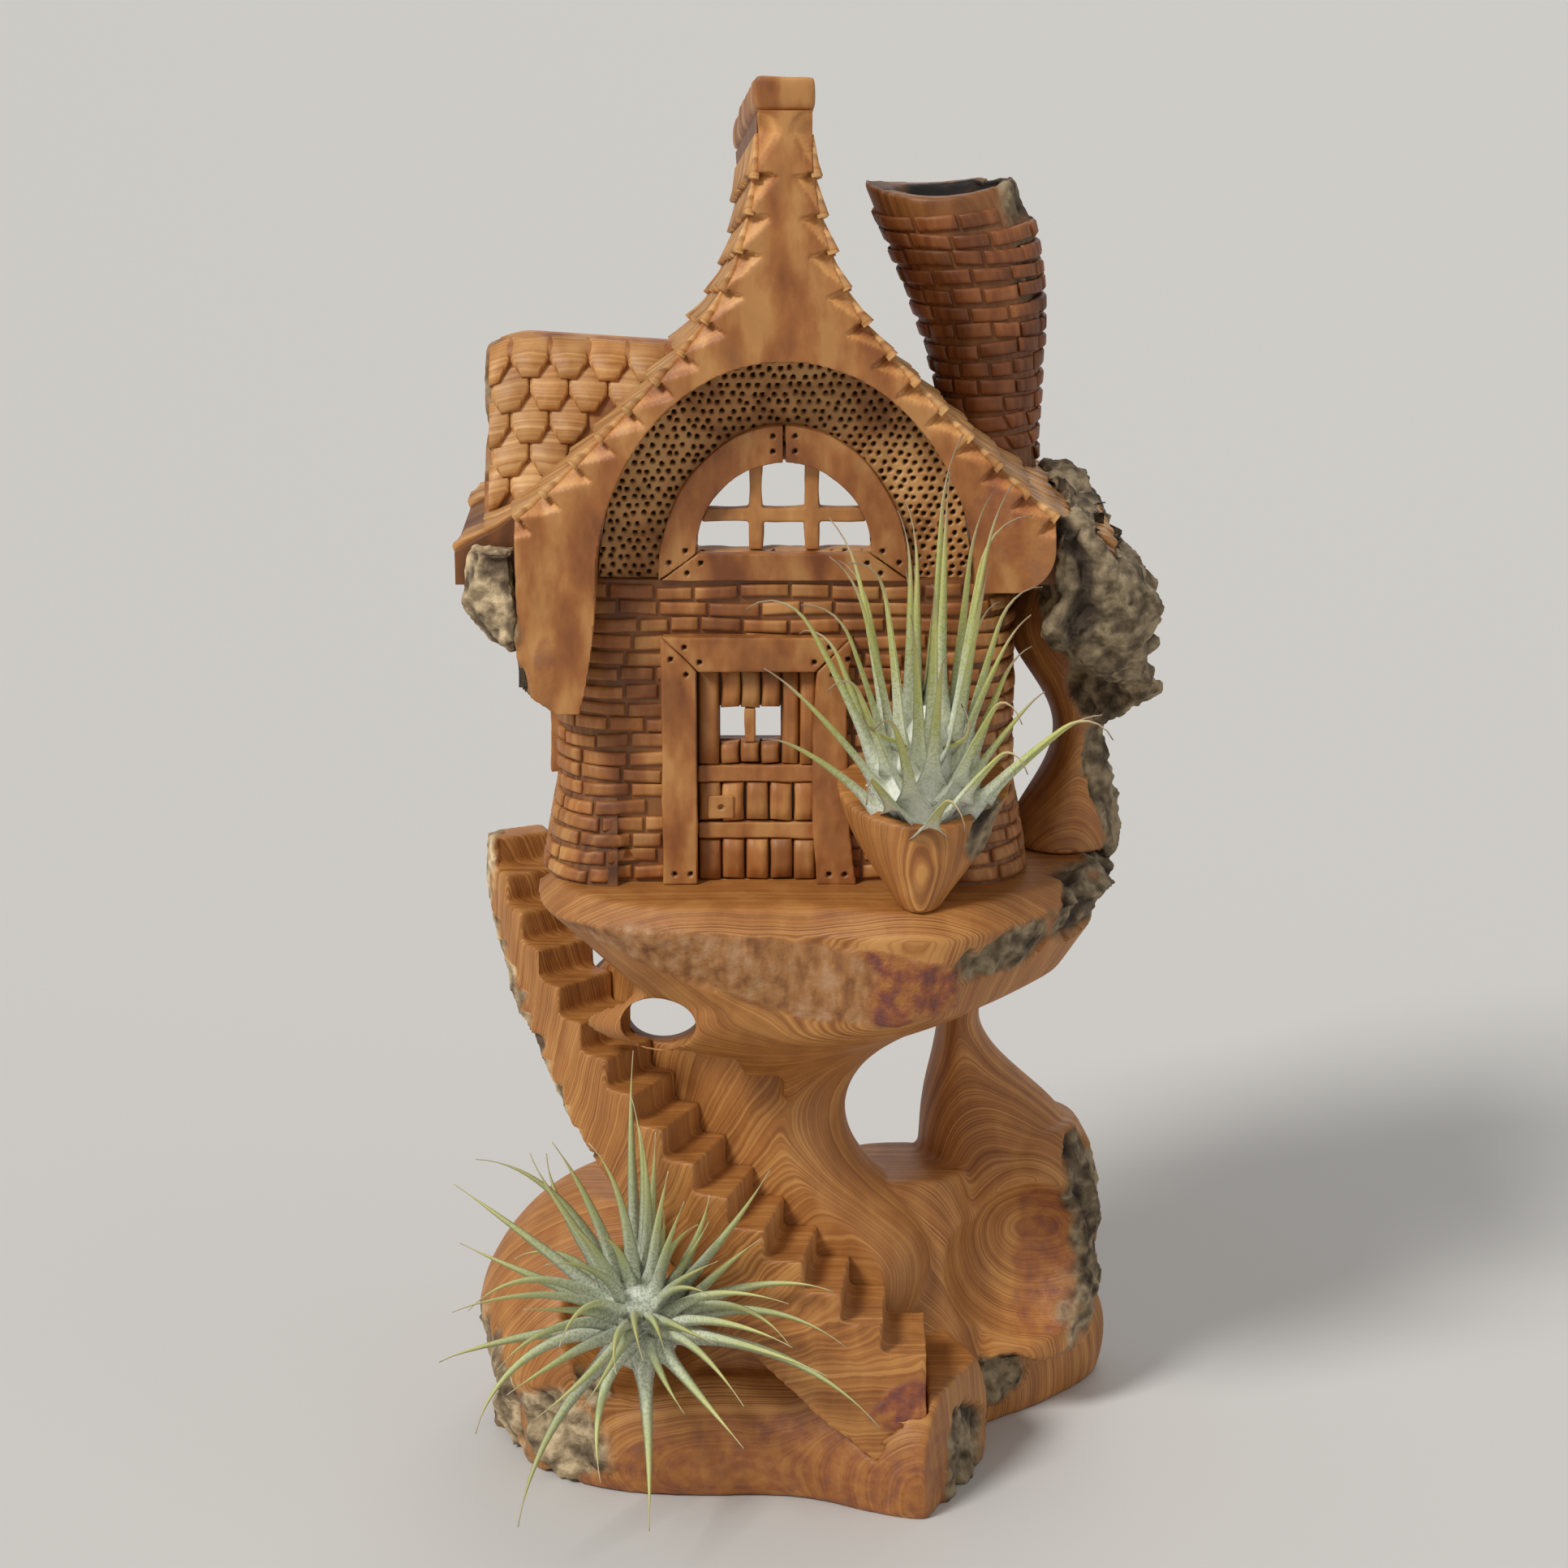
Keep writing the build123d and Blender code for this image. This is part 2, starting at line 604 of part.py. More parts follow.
def make_gable(roof):
    """Front board of the roof with the long hanging foot on its left."""
    board = roof & span_y(GABLE_FRONT, GABLE_FRONT + GABLE_THICKNESS)
    board = board & span_x(HOUSE_X - GABLE_HALF, HOUSE_X + GABLE_HALF)
    outer, inner = HOUSE_X - GABLE_HALF, HOUSE_X - VAULT_HALF
    low = EAVE_Z - GABLE_HANG
    toe = [(outer, EAVE_Z), (outer, low + GABLE_TOE_RISE), (outer + GABLE_TOE, low)]
    heel = (inner - GABLE_HEEL, low)
    foot = make_face(
        Polyline((inner, EAVE_Z), *toe, heel)
        + ThreePointArc(heel, (inner - GABLE_HEEL / 2, low + GABLE_HANG / 3), (inner, EAVE_Z))
    )
    return board + upright(foot, GABLE_FRONT + GABLE_THICKNESS, GABLE_THICKNESS)


def make_cap():
    """Ridge cap: a bar along the ridge, wider than the ridge by an overhang on each side."""
    half = stations[0].X + CAP_OVERHANG
    ends = []
    for at_back in (False, True):
        sides = [roof_point(side, half, RIDGE_RISE, at_back) for side in (-1, 1)]
        left, right = sides
        raised = [(x, y, z + CAP_HEIGHT) for x, y, z in (right, left)]
        ends.append(facet([left, right, *raised]))
    return loft(ends, ruled=True)


roof_mass = loft([roof_outline(False), roof_outline(True)], ruled=True)
vault = upright(arch(HOUSE_X, EAVE_Z, VAULT_HALF, VAULT_RISE), REACH / 2, REACH)
roof = roof_mass - vault
roof_body = roof & span_y(GABLE_FRONT + GABLE_THICKNESS, ROOF_BACK)
nodes["gable_board"] = make_gable(roof)
nodes["left_roof"] = roof_body & left_of_ridge()
nodes["right_roof"] = roof_body - left_of_ridge()
nodes["ridge_cap"] = make_cap()


# Dormer on the left slope: a hollow hood with hexagonal shingles on its front
def dormer_profile(inset):
    """Side-view outline of the dormer: two straight slopes under a round crown."""
    half = DORMER_HALF - inset
    crown = DORMER_CROWN - inset / 2
    spring = DORMER_SPRING - inset
    top = DORMER_RISE - inset
    return Pos(DORMER_Y, EAVE_Z) * make_face(
        Polyline((crown, spring), (half, 0), (-half, 0), (-crown, spring))
        + ThreePointArc((-crown, spring), (0, top), (crown, spring))
    )


def make_dormer_shingles():
    """Hexagonal plates laid in staggered rows on the dormer's front slope."""
    run = DORMER_HALF - DORMER_CROWN
    length = hypot(run, DORMER_SPRING)
    slope = Plane(
        origin=(DORMER_LEFT, DORMER_Y - DORMER_HALF, EAVE_Z),
        x_dir=(1, 0, 0),
        z_dir=(0, -DORMER_SPRING, run),
    )
    a, b = TILE_HALF_WIDTH, TILE_HALF_HEIGHT
    cell = polygon((0, b), (a, b / 2), (a, -b / 2), (0, -b), (-a, -b / 2), (-a, b / 2))
    plates = []
    row_pitch = 1.5 * b + PLANK_GAP
    column_pitch = 2 * a + PLANK_GAP
    for row in range(int((length - 2 * b) / row_pitch) + 1):
        v = b + row * row_pitch
        for column in range(DORMER_COLUMNS):
            u = a + (column + 0.5 * (row % 2)) * column_pitch
            plate = slope * Pos(u, v) * extrude(cell, TILE_THICKNESS)
            rest = plate - left_dressed
            plates += [s for s in rest.solids() if s.volume > plate.volume * TILE_KEPT]
    return plates


left_courses = [shingle_course(-1, k) for k in range(COURSES)]
right_courses = [shingle_course(1, k) for k in range(COURSES)]
left_dressed = roof_mass + left_courses
dormer_solid = extrude(side_view(dormer_profile(0), DORMER_LEFT), DORMER_LENGTH)
dormer_room = extrude(side_view(dormer_profile(DORMER_WALL), DORMER_LEFT), DORMER_DEPTH)
nodes["dormer_hood"] = dormer_solid - [dormer_room, roof_mass]
nodes["dormer_shingles"] = Compound(make_dormer_shingles())


def make_chimney():
    """Leaning stack that swells towards its mouth, with an open flue and a dipped rim."""
    top = EAVE_Z + CHIMNEY_RISE
    place = Pos(HOUSE_X, ROOF_BACK, 0)
    stack = place * lump(STACK, EAVE_Z, CHIMNEY_RISE)
    flue = place * lump(FLUE, top - FLUE_DEPTH, FLUE_DEPTH)
    dip = place * Pos(RIM_X, 0, top + RIM_RADIUS - RIM_DIP) * Rot(90, 0, 0) * Cylinder(RIM_RADIUS, REACH)
    return stack - [flue, dip], stack


chimney, chimney_solid = make_chimney()
nodes["chimney"] = chimney - roof_mass
front_strip = span_y(-REACH, GABLE_FRONT + GABLE_THICKNESS)
open_left = front_strip & span_x(-REACH, HOUSE_X - GABLE_HALF)
open_right = front_strip & span_x(HOUSE_X + GABLE_HALF, REACH)
cut_left, cut_right = [], []
for course in left_courses:
    cut_left += (course - [dormer_solid, open_left]).solids()
for course in right_courses:
    cut_right += (course - [chimney_solid, open_right]).solids()
nodes["left_shingles"] = Compound(cut_left)
nodes["right_shingles"] = Compound(cut_right)

# Rough bark left on the outer edges: the pillar beside the house and the lumps under both eaves
right_side = Pos(HOUSE_X + HOUSE_WIDTH / 2, 0, 0)
left_side = Pos(HOUSE_X - HOUSE_WIDTH / 2, 0, 0)
right_pillar = right_side * lump(PILLAR, DECK_TOP, WALL_HEIGHT)
right_bark = rough_lump(RIGHT_BARK, RIGHT_KNOBS, EAVE_Z - RIGHT_BARK_FOOT, RIGHT_BARK_HEIGHT)
left_bark = rough_lump(LEFT_BARK, LEFT_KNOBS, EAVE_Z - LEFT_BARK_FOOT, LEFT_BARK_HEIGHT)
pillar_pieces = right_pillar - [nodes["right_wall"], nodes["deck"]]
nodes["right_pillar"] = max(pillar_pieces.solids(), key=lambda piece: piece.volume)
right_eave = [nodes[n] for n in ("gable_board", "right_wall", "chimney", "right_roof")] + cut_right
left_eave = [nodes[n] for n in ("gable_board", "left_wall", "left_roof")] + cut_left
nodes["right_eave_bark"] = right_side * right_bark - [right_pillar, *right_eave]
nodes["left_eave_bark"] = left_side * left_bark - left_eave


# Gable window: a thin panel closes the vault, with a board frame and a lattice in its light
def make_window():
    """Panel, two arch boards, sill and lattice."""
    front = HOUSE_FRONT + PANEL_SETBACK
    sill_top = EAVE_Z + SILL_HEIGHT
    light_half = WINDOW_HALF - ARCH_BOARD
    light_rise = WINDOW_RISE - SILL_HEIGHT - ARCH_BOARD
    light = arch(WINDOW_X, sill_top, light_half, light_rise)
    field = arch(HOUSE_X, EAVE_Z, VAULT_HALF - FIT, VAULT_RISE - FIT)
    gable_panel = upright(field - light, front + PANEL_THICKNESS, PANEL_THICKNESS)
    low, high = WINDOW_X - WINDOW_HALF, WINDOW_X + WINDOW_HALF
    mitre = polygon(
        (low, EAVE_Z),
        (high, EAVE_Z),
        (high - ARCH_BOARD, sill_top),
        (low + ARCH_BOARD, sill_top),
    )
    sill = polygon(
        (low + PLANK_GAP, EAVE_Z),
        (high - PLANK_GAP, EAVE_Z),
        (high - ARCH_BOARD - PLANK_GAP, sill_top),
        (low + ARCH_BOARD + PLANK_GAP, sill_top),
    )
    ring = arch(WINDOW_X, EAVE_Z, WINDOW_HALF, WINDOW_RISE) - light - mitre
    kerf = PLANK_GAP / 2
    left = ring & panel(low, WINDOW_X - kerf, EAVE_Z, RIDGE_Z)
    right = ring & panel(WINDOW_X + kerf, high, EAVE_Z, RIDGE_Z)
    bars = panel(low, high, EAVE_Z + CROSSBAR_RISE, EAVE_Z + CROSSBAR_RISE + LATTICE_BAR)
    for side in (-1, 1):
        x = WINDOW_X + side * LATTICE_SPACING / 2
        bars = bars + panel(x - LATTICE_BAR / 2, x + LATTICE_BAR / 2, EAVE_Z, RIDGE_Z)
    bars = bars & arch(WINDOW_X, sill_top + FIT, light_half - FIT, light_rise - FIT)
    return {
        "gable_panel": gable_panel,
        "window_left_board": upright(left, front, FRAME_THICKNESS),
        "window_right_board": upright(right, front, FRAME_THICKNESS),
        "window_sill": upright(sill, front, FRAME_THICKNESS),
        "window_lattice": upright(bars, front + LATTICE_THICKNESS, LATTICE_THICKNESS),
    }


nodes.update(make_window())


# Door: mitred frame boards on the wall, and a leaf of planks and battens in its recess
def plank_row(low, high, foot, head, count):
    """Row of upright planks that fill a width, parted by saw gaps."""
    pitch = (high - low) / count
    gap = PLANK_GAP / 2
    row = []
    for i in range(count):
        x = low + i * pitch
        row.append(leaf_board(x + gap, x + pitch - gap, foot + gap, head - gap, PLANK_THICKNESS))
    return row


def leaf_board(low, high, foot, head, thickness):
    """Board of the door leaf, on the floor of the recess; levels are above the deck."""
    return upright(panel(low, high, DECK_TOP + foot, DECK_TOP + head), HOUSE_FRONT + DOOR_RECESS, thickness)


def make_door():
    """Frame boards, planks, battens, mullion and lock plate."""
    low, high = DOOR_X - DOOR_WIDTH / 2, DOOR_X + DOOR_WIDTH / 2
    top = DECK_TOP + DOOR_HEIGHT
    board = FRAME_BOARD
    lintel = polygon((low - board + PLANK_GAP, top + board), (high + board - PLANK_GAP, top + board),
                     (high - PLANK_GAP, top), (low + PLANK_GAP, top))
    left_jamb = polygon((low - board, DECK_TOP), (low, DECK_TOP), (low, top), (low - board, top + board))
    middle = DECK_TOP + DOOR_HEIGHT * JAMB_BOW_SHARE
    foot_corner, head_corner = (high + board + JAMB_BOW, DECK_TOP), (high + board, top + board)
    right_jamb = make_face(
        Line((high, DECK_TOP), foot_corner)
        + ThreePointArc(foot_corner, (high + board - JAMB_BOW, middle), head_corner)
        + Line(head_corner, (high, top))
        + ThreePointArc((high, top), (high - JAMB_BOW, middle), (high, DECK_TOP))
    )
    light = light_low, light_high = LIGHT_X - LIGHT_WIDTH / 2, LIGHT_X + LIGHT_WIDTH / 2
    light_top = LIGHT_FOOT + LIGHT_HEIGHT
    upper_foot = UPPER_BATTEN + BATTEN_HEIGHT
    middle_foot = LOWER_BATTEN + BATTEN_HEIGHT
    gap = PLANK_GAP / 2
    batten = PLANK_THICKNESS + BATTEN_PROUD
    stiles = plank_row(low, light_low, upper_foot, DOOR_HEIGHT, 1)
    stiles += plank_row(light_high, high, upper_foot, DOOR_HEIGHT, 2)
    lock_low, lock_foot = low + LOCK_INSET, DECK_TOP + middle_foot + LOCK_LIFT
    lock = panel(lock_low, lock_low + LOCK_WIDTH, lock_foot, lock_foot + LOCK_HEIGHT)
    half = MULLION / 2
    return {
        "door_lintel": upright(lintel, HOUSE_FRONT, FRAME_THICKNESS),
        "door_left_jamb": upright(left_jamb, HOUSE_FRONT, FRAME_THICKNESS),
        "door_right_jamb": upright(right_jamb, HOUSE_FRONT, FRAME_THICKNESS),
        "door_bottom_planks": Compound(plank_row(low, high, 0, LOWER_BATTEN, LONG_PLANKS)),
        "door_middle_planks": Compound(plank_row(low, high, middle_foot, UPPER_BATTEN, LONG_PLANKS)),
        "door_short_planks": Compound(plank_row(*light, upper_foot, LIGHT_FOOT, SHORT_PLANKS)),
        "door_top_planks": Compound(plank_row(*light, light_top, DOOR_HEIGHT, SHORT_PLANKS)),
        "door_stiles": Compound(stiles),
        "door_lower_batten": leaf_board(low + gap, high - gap, LOWER_BATTEN, middle_foot, batten),
        "door_upper_batten": leaf_board(low + gap, high - gap, UPPER_BATTEN, upper_foot, batten),
        "door_mullion": leaf_board(LIGHT_X - half, LIGHT_X + half, LIGHT_FOOT, light_top, PLANK_THICKNESS),
        "door_lock_plate": upright(lock, HOUSE_FRONT + DOOR_RECESS - PLANK_THICKNESS, LOCK_THICKNESS),
    }


nodes.update(make_door())


# Planter pocket: a leaf-shaped cup on the front wall, standing on the deck
def make_pocket():
    """Cup with a pointed foot, a rim that falls towards the front and a round hollow."""
    cup = Pos(POCKET_X, POCKET_Y, 0) * lump(POCKET_CUP, DECK_TOP, POCKET_RIM)
    rim = tilted((POCKET_X, POCKET_Y, DECK_TOP + POCKET_RIM), POCKET_RIM_TILT)
    above = rim * Box(REACH, REACH, REACH, align=(Align.CENTER, Align.CENTER, Align.MIN))
    hollow = bowl(pocket_plane(), POCKET_BORE)
    neighbours = [nodes["door_right_jamb"], nodes["right_wall"]]
    return (cup & span_y(-REACH, HOUSE_FRONT)) - [above, hollow, *neighbours]


def pocket_plane():
    """Plane of the pocket's hollow, square to the way the plant lifts out."""
    return tilted((POCKET_X, POCKET_Y, DECK_TOP + POCKET_RIM), POCKET_TILT)


nodes["planter_pocket"] = make_pocket()


# Brick courses: bands that stand proud of the walls, notched where two bricks meet
def course_joints(course, grow):
    """Plan rectangles that notch one course on the front and on both sides."""
    lap = BRICK_LENGTH / 2 * (course % 2)
    notches = []
    count = int(HOUSE_WIDTH / BRICK_LENGTH)
    reach = JOINT_DEPTH - BRICK_PROUD
    for k in range(count):
        along = k * BRICK_LENGTH + lap
        notch = Rectangle(BRICK_JOINT, 2 * WALL)
        notches.append(Pos(HOUSE_X - FRONT_HALF + along, HOUSE_FRONT + reach - WALL) * notch)
        if CORNER_RADIUS + along < HOUSE_DEPTH - CORNER_RADIUS:
            for side in (-1, 1):
                x = HOUSE_X + side * (HOUSE_WIDTH / 2 + grow - reach + WALL)
                notches.append(Pos(x, HOUSE_FRONT + CORNER_RADIUS + along) * Rot(0, 0, 90) * notch)
    return notches


def brick_course(course, neighbours):
    """One course round the house, open at the rear and parted by the door."""
    low = course * (BRICK_HEIGHT + BRICK_JOINT)
    grow = FOOT_FLARE * max(0, 1 - (low + BRICK_HEIGHT / 2) / FLARE_HEIGHT)
    ring = house_plan(grow + BRICK_PROUD, CORNER_RADIUS + grow + BRICK_PROUD)
    ring = ring - house_plan(grow - BRICK_PROUD, CORNER_RADIUS + grow - BRICK_PROUD)
    gaps = [Pos(HOUSE_X, HOUSE_FRONT) * Rectangle(2 * FRONT_HALF, HOUSE_DEPTH)]
    gaps.append(Pos(HOUSE_X, HOUSE_BACK) * Rectangle(REAR_OPENING, HOUSE_DEPTH))
    pillar_front = min(y - radius for _, y, _, radius, _ in PILLAR)
    pillar_back = max(y + radius for _, y, _, radius, _ in PILLAR)
    behind = Rectangle(2 * WALL, pillar_back - pillar_front + 2 * FIT)
    gaps.append(Pos(HOUSE_X + HOUSE_WIDTH / 2 + grow, (pillar_front + pillar_back) / 2) * behind)
    strip = Pos(HOUSE_X, HOUSE_FRONT - BRICK_PROUD / 2) * Rectangle(2 * FRONT_HALF, BRICK_PROUD)
    if low < DOOR_HEIGHT + FRAME_BOARD:
        frame = DOOR_WIDTH + 2 * (FRAME_BOARD + JAMB_BOW + FIT)
        strip = strip - Pos(DOOR_X, HOUSE_FRONT) * Rectangle(frame, HOUSE_DEPTH)
    plan = (ring - gaps) + strip
    plan = plan - course_joints(course, grow)
    band = Pos(0, 0, DECK_TOP + low) * extrude(plan, BRICK_HEIGHT)
    return [s for s in (band - neighbours).solids() if s.volume > BRICK_LEAST]


def make_bricks():
    """Every course from the deck to the eave, cut round the window frame and what leans on the walls."""
    reveal = extrude(side_view(side_window(SIDE_BOARD), side_face - WALL), 2 * WALL)
    names = ("left_wall", "right_wall", "planter_pocket")
    neighbours = [reveal] + [nodes[name] for name in names]
    bricks = []
    for course in range(BRICK_COURSES):
        bricks += brick_course(course, neighbours)
    return bricks


nodes["wall_bricks"] = Compound(make_bricks())


# Air plants
def make_bulb(plane, depth, radius, neck, height):
    """Pear-shaped base of a plant, round below and drawn in above."""
    under = ThreePointArc((0, -depth), (radius * sin(pi / 4), -depth * cos(pi / 4)), (radius, 0))
    shoulder = (BULB_SHOULDER[0] * radius, BULB_SHOULDER[1] * height)
    above = ThreePointArc((radius, 0), shoulder, (neck, height))
    profile = make_face(under + above + Polyline((neck, height), (0, height), (0, -depth)))
    return plane * revolve(Plane.XZ * profile, Axis.Z)


def make_leaf(plane, turn, root, lean_root, lean_tip, length, width):
    """Tapered leaf of diamond section that bends outward from its root to its tip."""
    out = plane.x_dir * cos(turn) + plane.y_dir * sin(turn)
    across = plane.y_dir * cos(turn) - plane.x_dir * sin(turn)
    point = plane.origin + plane.z_dir * root + out * ROOT_RADIUS
    sections = []
    for k in range(LEAF_SPANS + 1):
        share = k / LEAF_SPANS
        lean = lean_root + (lean_tip - lean_root) * share
        along = plane.z_dir * cos(lean) + out * sin(lean)
        flat = along.cross(across)
        side = across * (LEAF_TIP + (width - LEAF_TIP) * (1 - share)) / 2
        rib = flat * (LEAF_TIP + (LEAF_THICKNESS - LEAF_TIP) * (1 - share)) / 2
        sections.append(facet([point + side, point + rib, point - side, point - rib]))
        point = point + along * (length / LEAF_SPANS)
    return loft(sections, ruled=True)


def make_plant(plane, bulb, count, roots, root_leans, tip_leans, lengths, widths, held_back, held_right):
    """Bulb and fanned leaves; each pair of values runs from the outermost leaf to the innermost."""
    leaves = []
    for i in range(count):
        share = i / (count - 1)
        turn = i * GOLDEN_ANGLE
        hold = 1 - held_back * max(0, sin(turn)) - held_right * max(0, cos(turn))
        root, root_lean, tip_lean, length, width = [
            first + (last - first) * share for first, last in (roots, root_leans, tip_leans, lengths, widths)
        ]
        leans = radians(root_lean) * hold, radians(tip_lean) * hold
        leaves.append(make_leaf(plane, turn, root, *leans, length, width))
    return bulb + leaves


upper_plane = pocket_plane()
upper_radius = POCKET_BORE - SEAT_GAP
upper_bulb = make_bulb(upper_plane, upper_radius, upper_radius, UPPER_BULB_NECK, UPPER_BULB_HEIGHT)
nodes["upper_air_plant"] = make_plant(upper_plane, upper_bulb, **UPPER_PLANT)
lower_plane = tilted(HOLLOW_POINT, HOLLOW_TILT)
lower_depth = HOLLOW_BORE - SEAT_GAP
lower_bulb = make_bulb(lower_plane, lower_depth, LOWER_BULB_RADIUS, LOWER_BULB_NECK, LOWER_BULB_HEIGHT)
nodes["lower_air_plant"] = make_plant(lower_plane, lower_bulb, **LOWER_PLANT)

os.makedirs("parts", exist_ok=True)
for name, shape in nodes.items():
    export_step(shape, f"parts/{name}.step")
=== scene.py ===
import json
import math

import bmesh
import bpy
import numpy as np
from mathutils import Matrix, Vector
from mathutils.bvhtree import BVHTree


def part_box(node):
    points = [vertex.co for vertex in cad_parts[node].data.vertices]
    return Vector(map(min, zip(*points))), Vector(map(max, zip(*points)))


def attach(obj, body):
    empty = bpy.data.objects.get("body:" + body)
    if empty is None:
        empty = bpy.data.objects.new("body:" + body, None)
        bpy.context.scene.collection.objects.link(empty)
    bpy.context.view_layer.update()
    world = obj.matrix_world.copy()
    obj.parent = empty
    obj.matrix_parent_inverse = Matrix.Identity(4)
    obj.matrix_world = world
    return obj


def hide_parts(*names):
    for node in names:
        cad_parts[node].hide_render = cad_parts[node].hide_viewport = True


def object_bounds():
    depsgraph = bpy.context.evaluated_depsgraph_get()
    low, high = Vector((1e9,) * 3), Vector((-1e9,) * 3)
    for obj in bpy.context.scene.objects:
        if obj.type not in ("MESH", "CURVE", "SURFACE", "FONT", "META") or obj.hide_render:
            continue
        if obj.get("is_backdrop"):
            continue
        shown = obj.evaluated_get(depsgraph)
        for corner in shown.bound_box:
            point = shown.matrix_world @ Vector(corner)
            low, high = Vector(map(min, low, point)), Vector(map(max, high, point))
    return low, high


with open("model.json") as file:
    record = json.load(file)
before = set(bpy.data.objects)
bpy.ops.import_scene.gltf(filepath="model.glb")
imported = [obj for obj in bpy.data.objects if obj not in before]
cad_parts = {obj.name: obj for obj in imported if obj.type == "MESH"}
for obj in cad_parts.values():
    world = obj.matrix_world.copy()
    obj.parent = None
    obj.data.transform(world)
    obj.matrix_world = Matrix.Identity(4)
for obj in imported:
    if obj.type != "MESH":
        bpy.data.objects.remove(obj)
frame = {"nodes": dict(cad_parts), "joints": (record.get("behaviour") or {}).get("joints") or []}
cad_low, cad_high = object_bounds()
MM = 0.001

# Stump: base, trunk, rear leg and deck, carved from one block of thick bark. The knife leaves it smooth,
# and the block's own crust stays on its outer edges. Bark is hundreds of thin layers: a cut across them
# shows as flowing lines, a cut along them as orange and brown clouds.


class Link:
    """One output of a material's node tree, which takes part in Python arithmetic."""

    def __init__(self, tree, socket=None):
        self.tree = tree
        self.socket = socket

    def node(self, kind, settings, inputs, output=0):
        """Adds a node: its settings first, then the values or links of its sockets."""
        made = self.tree.nodes.new(kind)
        for key, setting in settings.items():
            if key == "stops":
                ramp = made.color_ramp
                while len(ramp.elements) < len(setting):
                    ramp.elements.new(1.0)
                for element, (place, colour) in zip(ramp.elements, setting):
                    element.position = place
                    element.color = (*colour, 1.0)
            else:
                setattr(made, key, setting)
        for key, given in inputs.items():
            if isinstance(given, Link):
                self.tree.links.new(given.socket, made.inputs[key])
            else:
                made.inputs[key].default_value = given
        return Link(self.tree, made.outputs[output])

    def sum_with(self, operation, first, second):
        """Math node of two values or links."""
        return self.node("ShaderNodeMath", {"operation": operation}, {0: first, 1: second})

    def __add__(self, other):
        return self.sum_with("ADD", self, other)

    def __radd__(self, other):
        return self.sum_with("ADD", other, self)

    def __sub__(self, other):
        return self.sum_with("SUBTRACT", self, other)

    def __rsub__(self, other):
        return self.sum_with("SUBTRACT", other, self)

    def __mul__(self, other):
        return self.sum_with("MULTIPLY", self, other)

    def __rmul__(self, other):
        return self.sum_with("MULTIPLY", other, self)

    def mixed(self, other, share):
        """This colour turned towards another by a share from 0 to 1."""
        inputs = {0: share, 6: self, 7: other if isinstance(other, Link) else (*other, 1.0)}
        return self.node("ShaderNodeMix", {"data_type": "RGBA"}, inputs, 2)

    def noise(self, where, size, detail, sides="3D"):
        """Cloud noise with features of a size in metres, or in the unit of a 1D coordinate."""
        spot = "W" if sides == "1D" else "Vector"
        inputs = {spot: where, "Scale": 1 / size, "Detail": detail}
        return self.node("ShaderNodeTexNoise", {"noise_dimensions": sides}, inputs)

    def ramp(self, stops):
        """Colour ramp over this value."""
        return self.node("ShaderNodeValToRGB", {"stops": stops}, {0: self})

    def painted(self, name):
        """Share that was painted on the mesh under a name."""
        return self.node("ShaderNodeAttribute", {"attribute_name": name}, {}, "Fac")


def colour(code):
    """Linear colour of a six-digit screen colour."""
    parts = [int(code[i:i + 2], 16) / 255 for i in (0, 2, 4)]
    return tuple(((p + 0.055) / 1.055) ** 2.4 if p > 0.04045 else p / 12.92 for p in parts)


def new_material(name):
    """Material with a bare principled shader, and the start of its tree."""
    material = bpy.data.materials.new(name)
    material.use_nodes = True
    return material, Link(material.node_tree), material.node_tree.nodes["Principled BSDF"].inputs


CRUST_DARK = colour("2e2116")
CRUST_GREY = colour("6b5b44")
CRUST_PALE = colour("a28f70")
RED_LAYER = colour("92502e")
PURPLE_LAYER = colour("744036")
FLAKE_DARK = colour("804f29")
FLAKE_TAN = colour("a5703d")
FLAKE_PINK = colour("b78a62")
# Near-black colour of the painted shade in pits and in the flue.
SHADE_BLACK = colour("15110f")
LAYER_WARP = 3.2
RIPPLE_WARP = 0.6
SWELL_SIZE = 45 * MM
RIPPLE_SIZE = 11 * MM
CLOUD_SIZE = 8 * MM
CRUMB_SIZE = 4 * MM
LICHEN_SIZE = 14 * MM
FLAKE_SIZE = 3.6 * MM
PIT_SIZE = 2.2 * MM
UPRIGHT_STRETCH = (1.0, 1.0, 0.4)
TONE_RANGE = 0.3
BARK_BUMP = 0.55
BARK_BUMP_DEPTH = 1.2 * MM


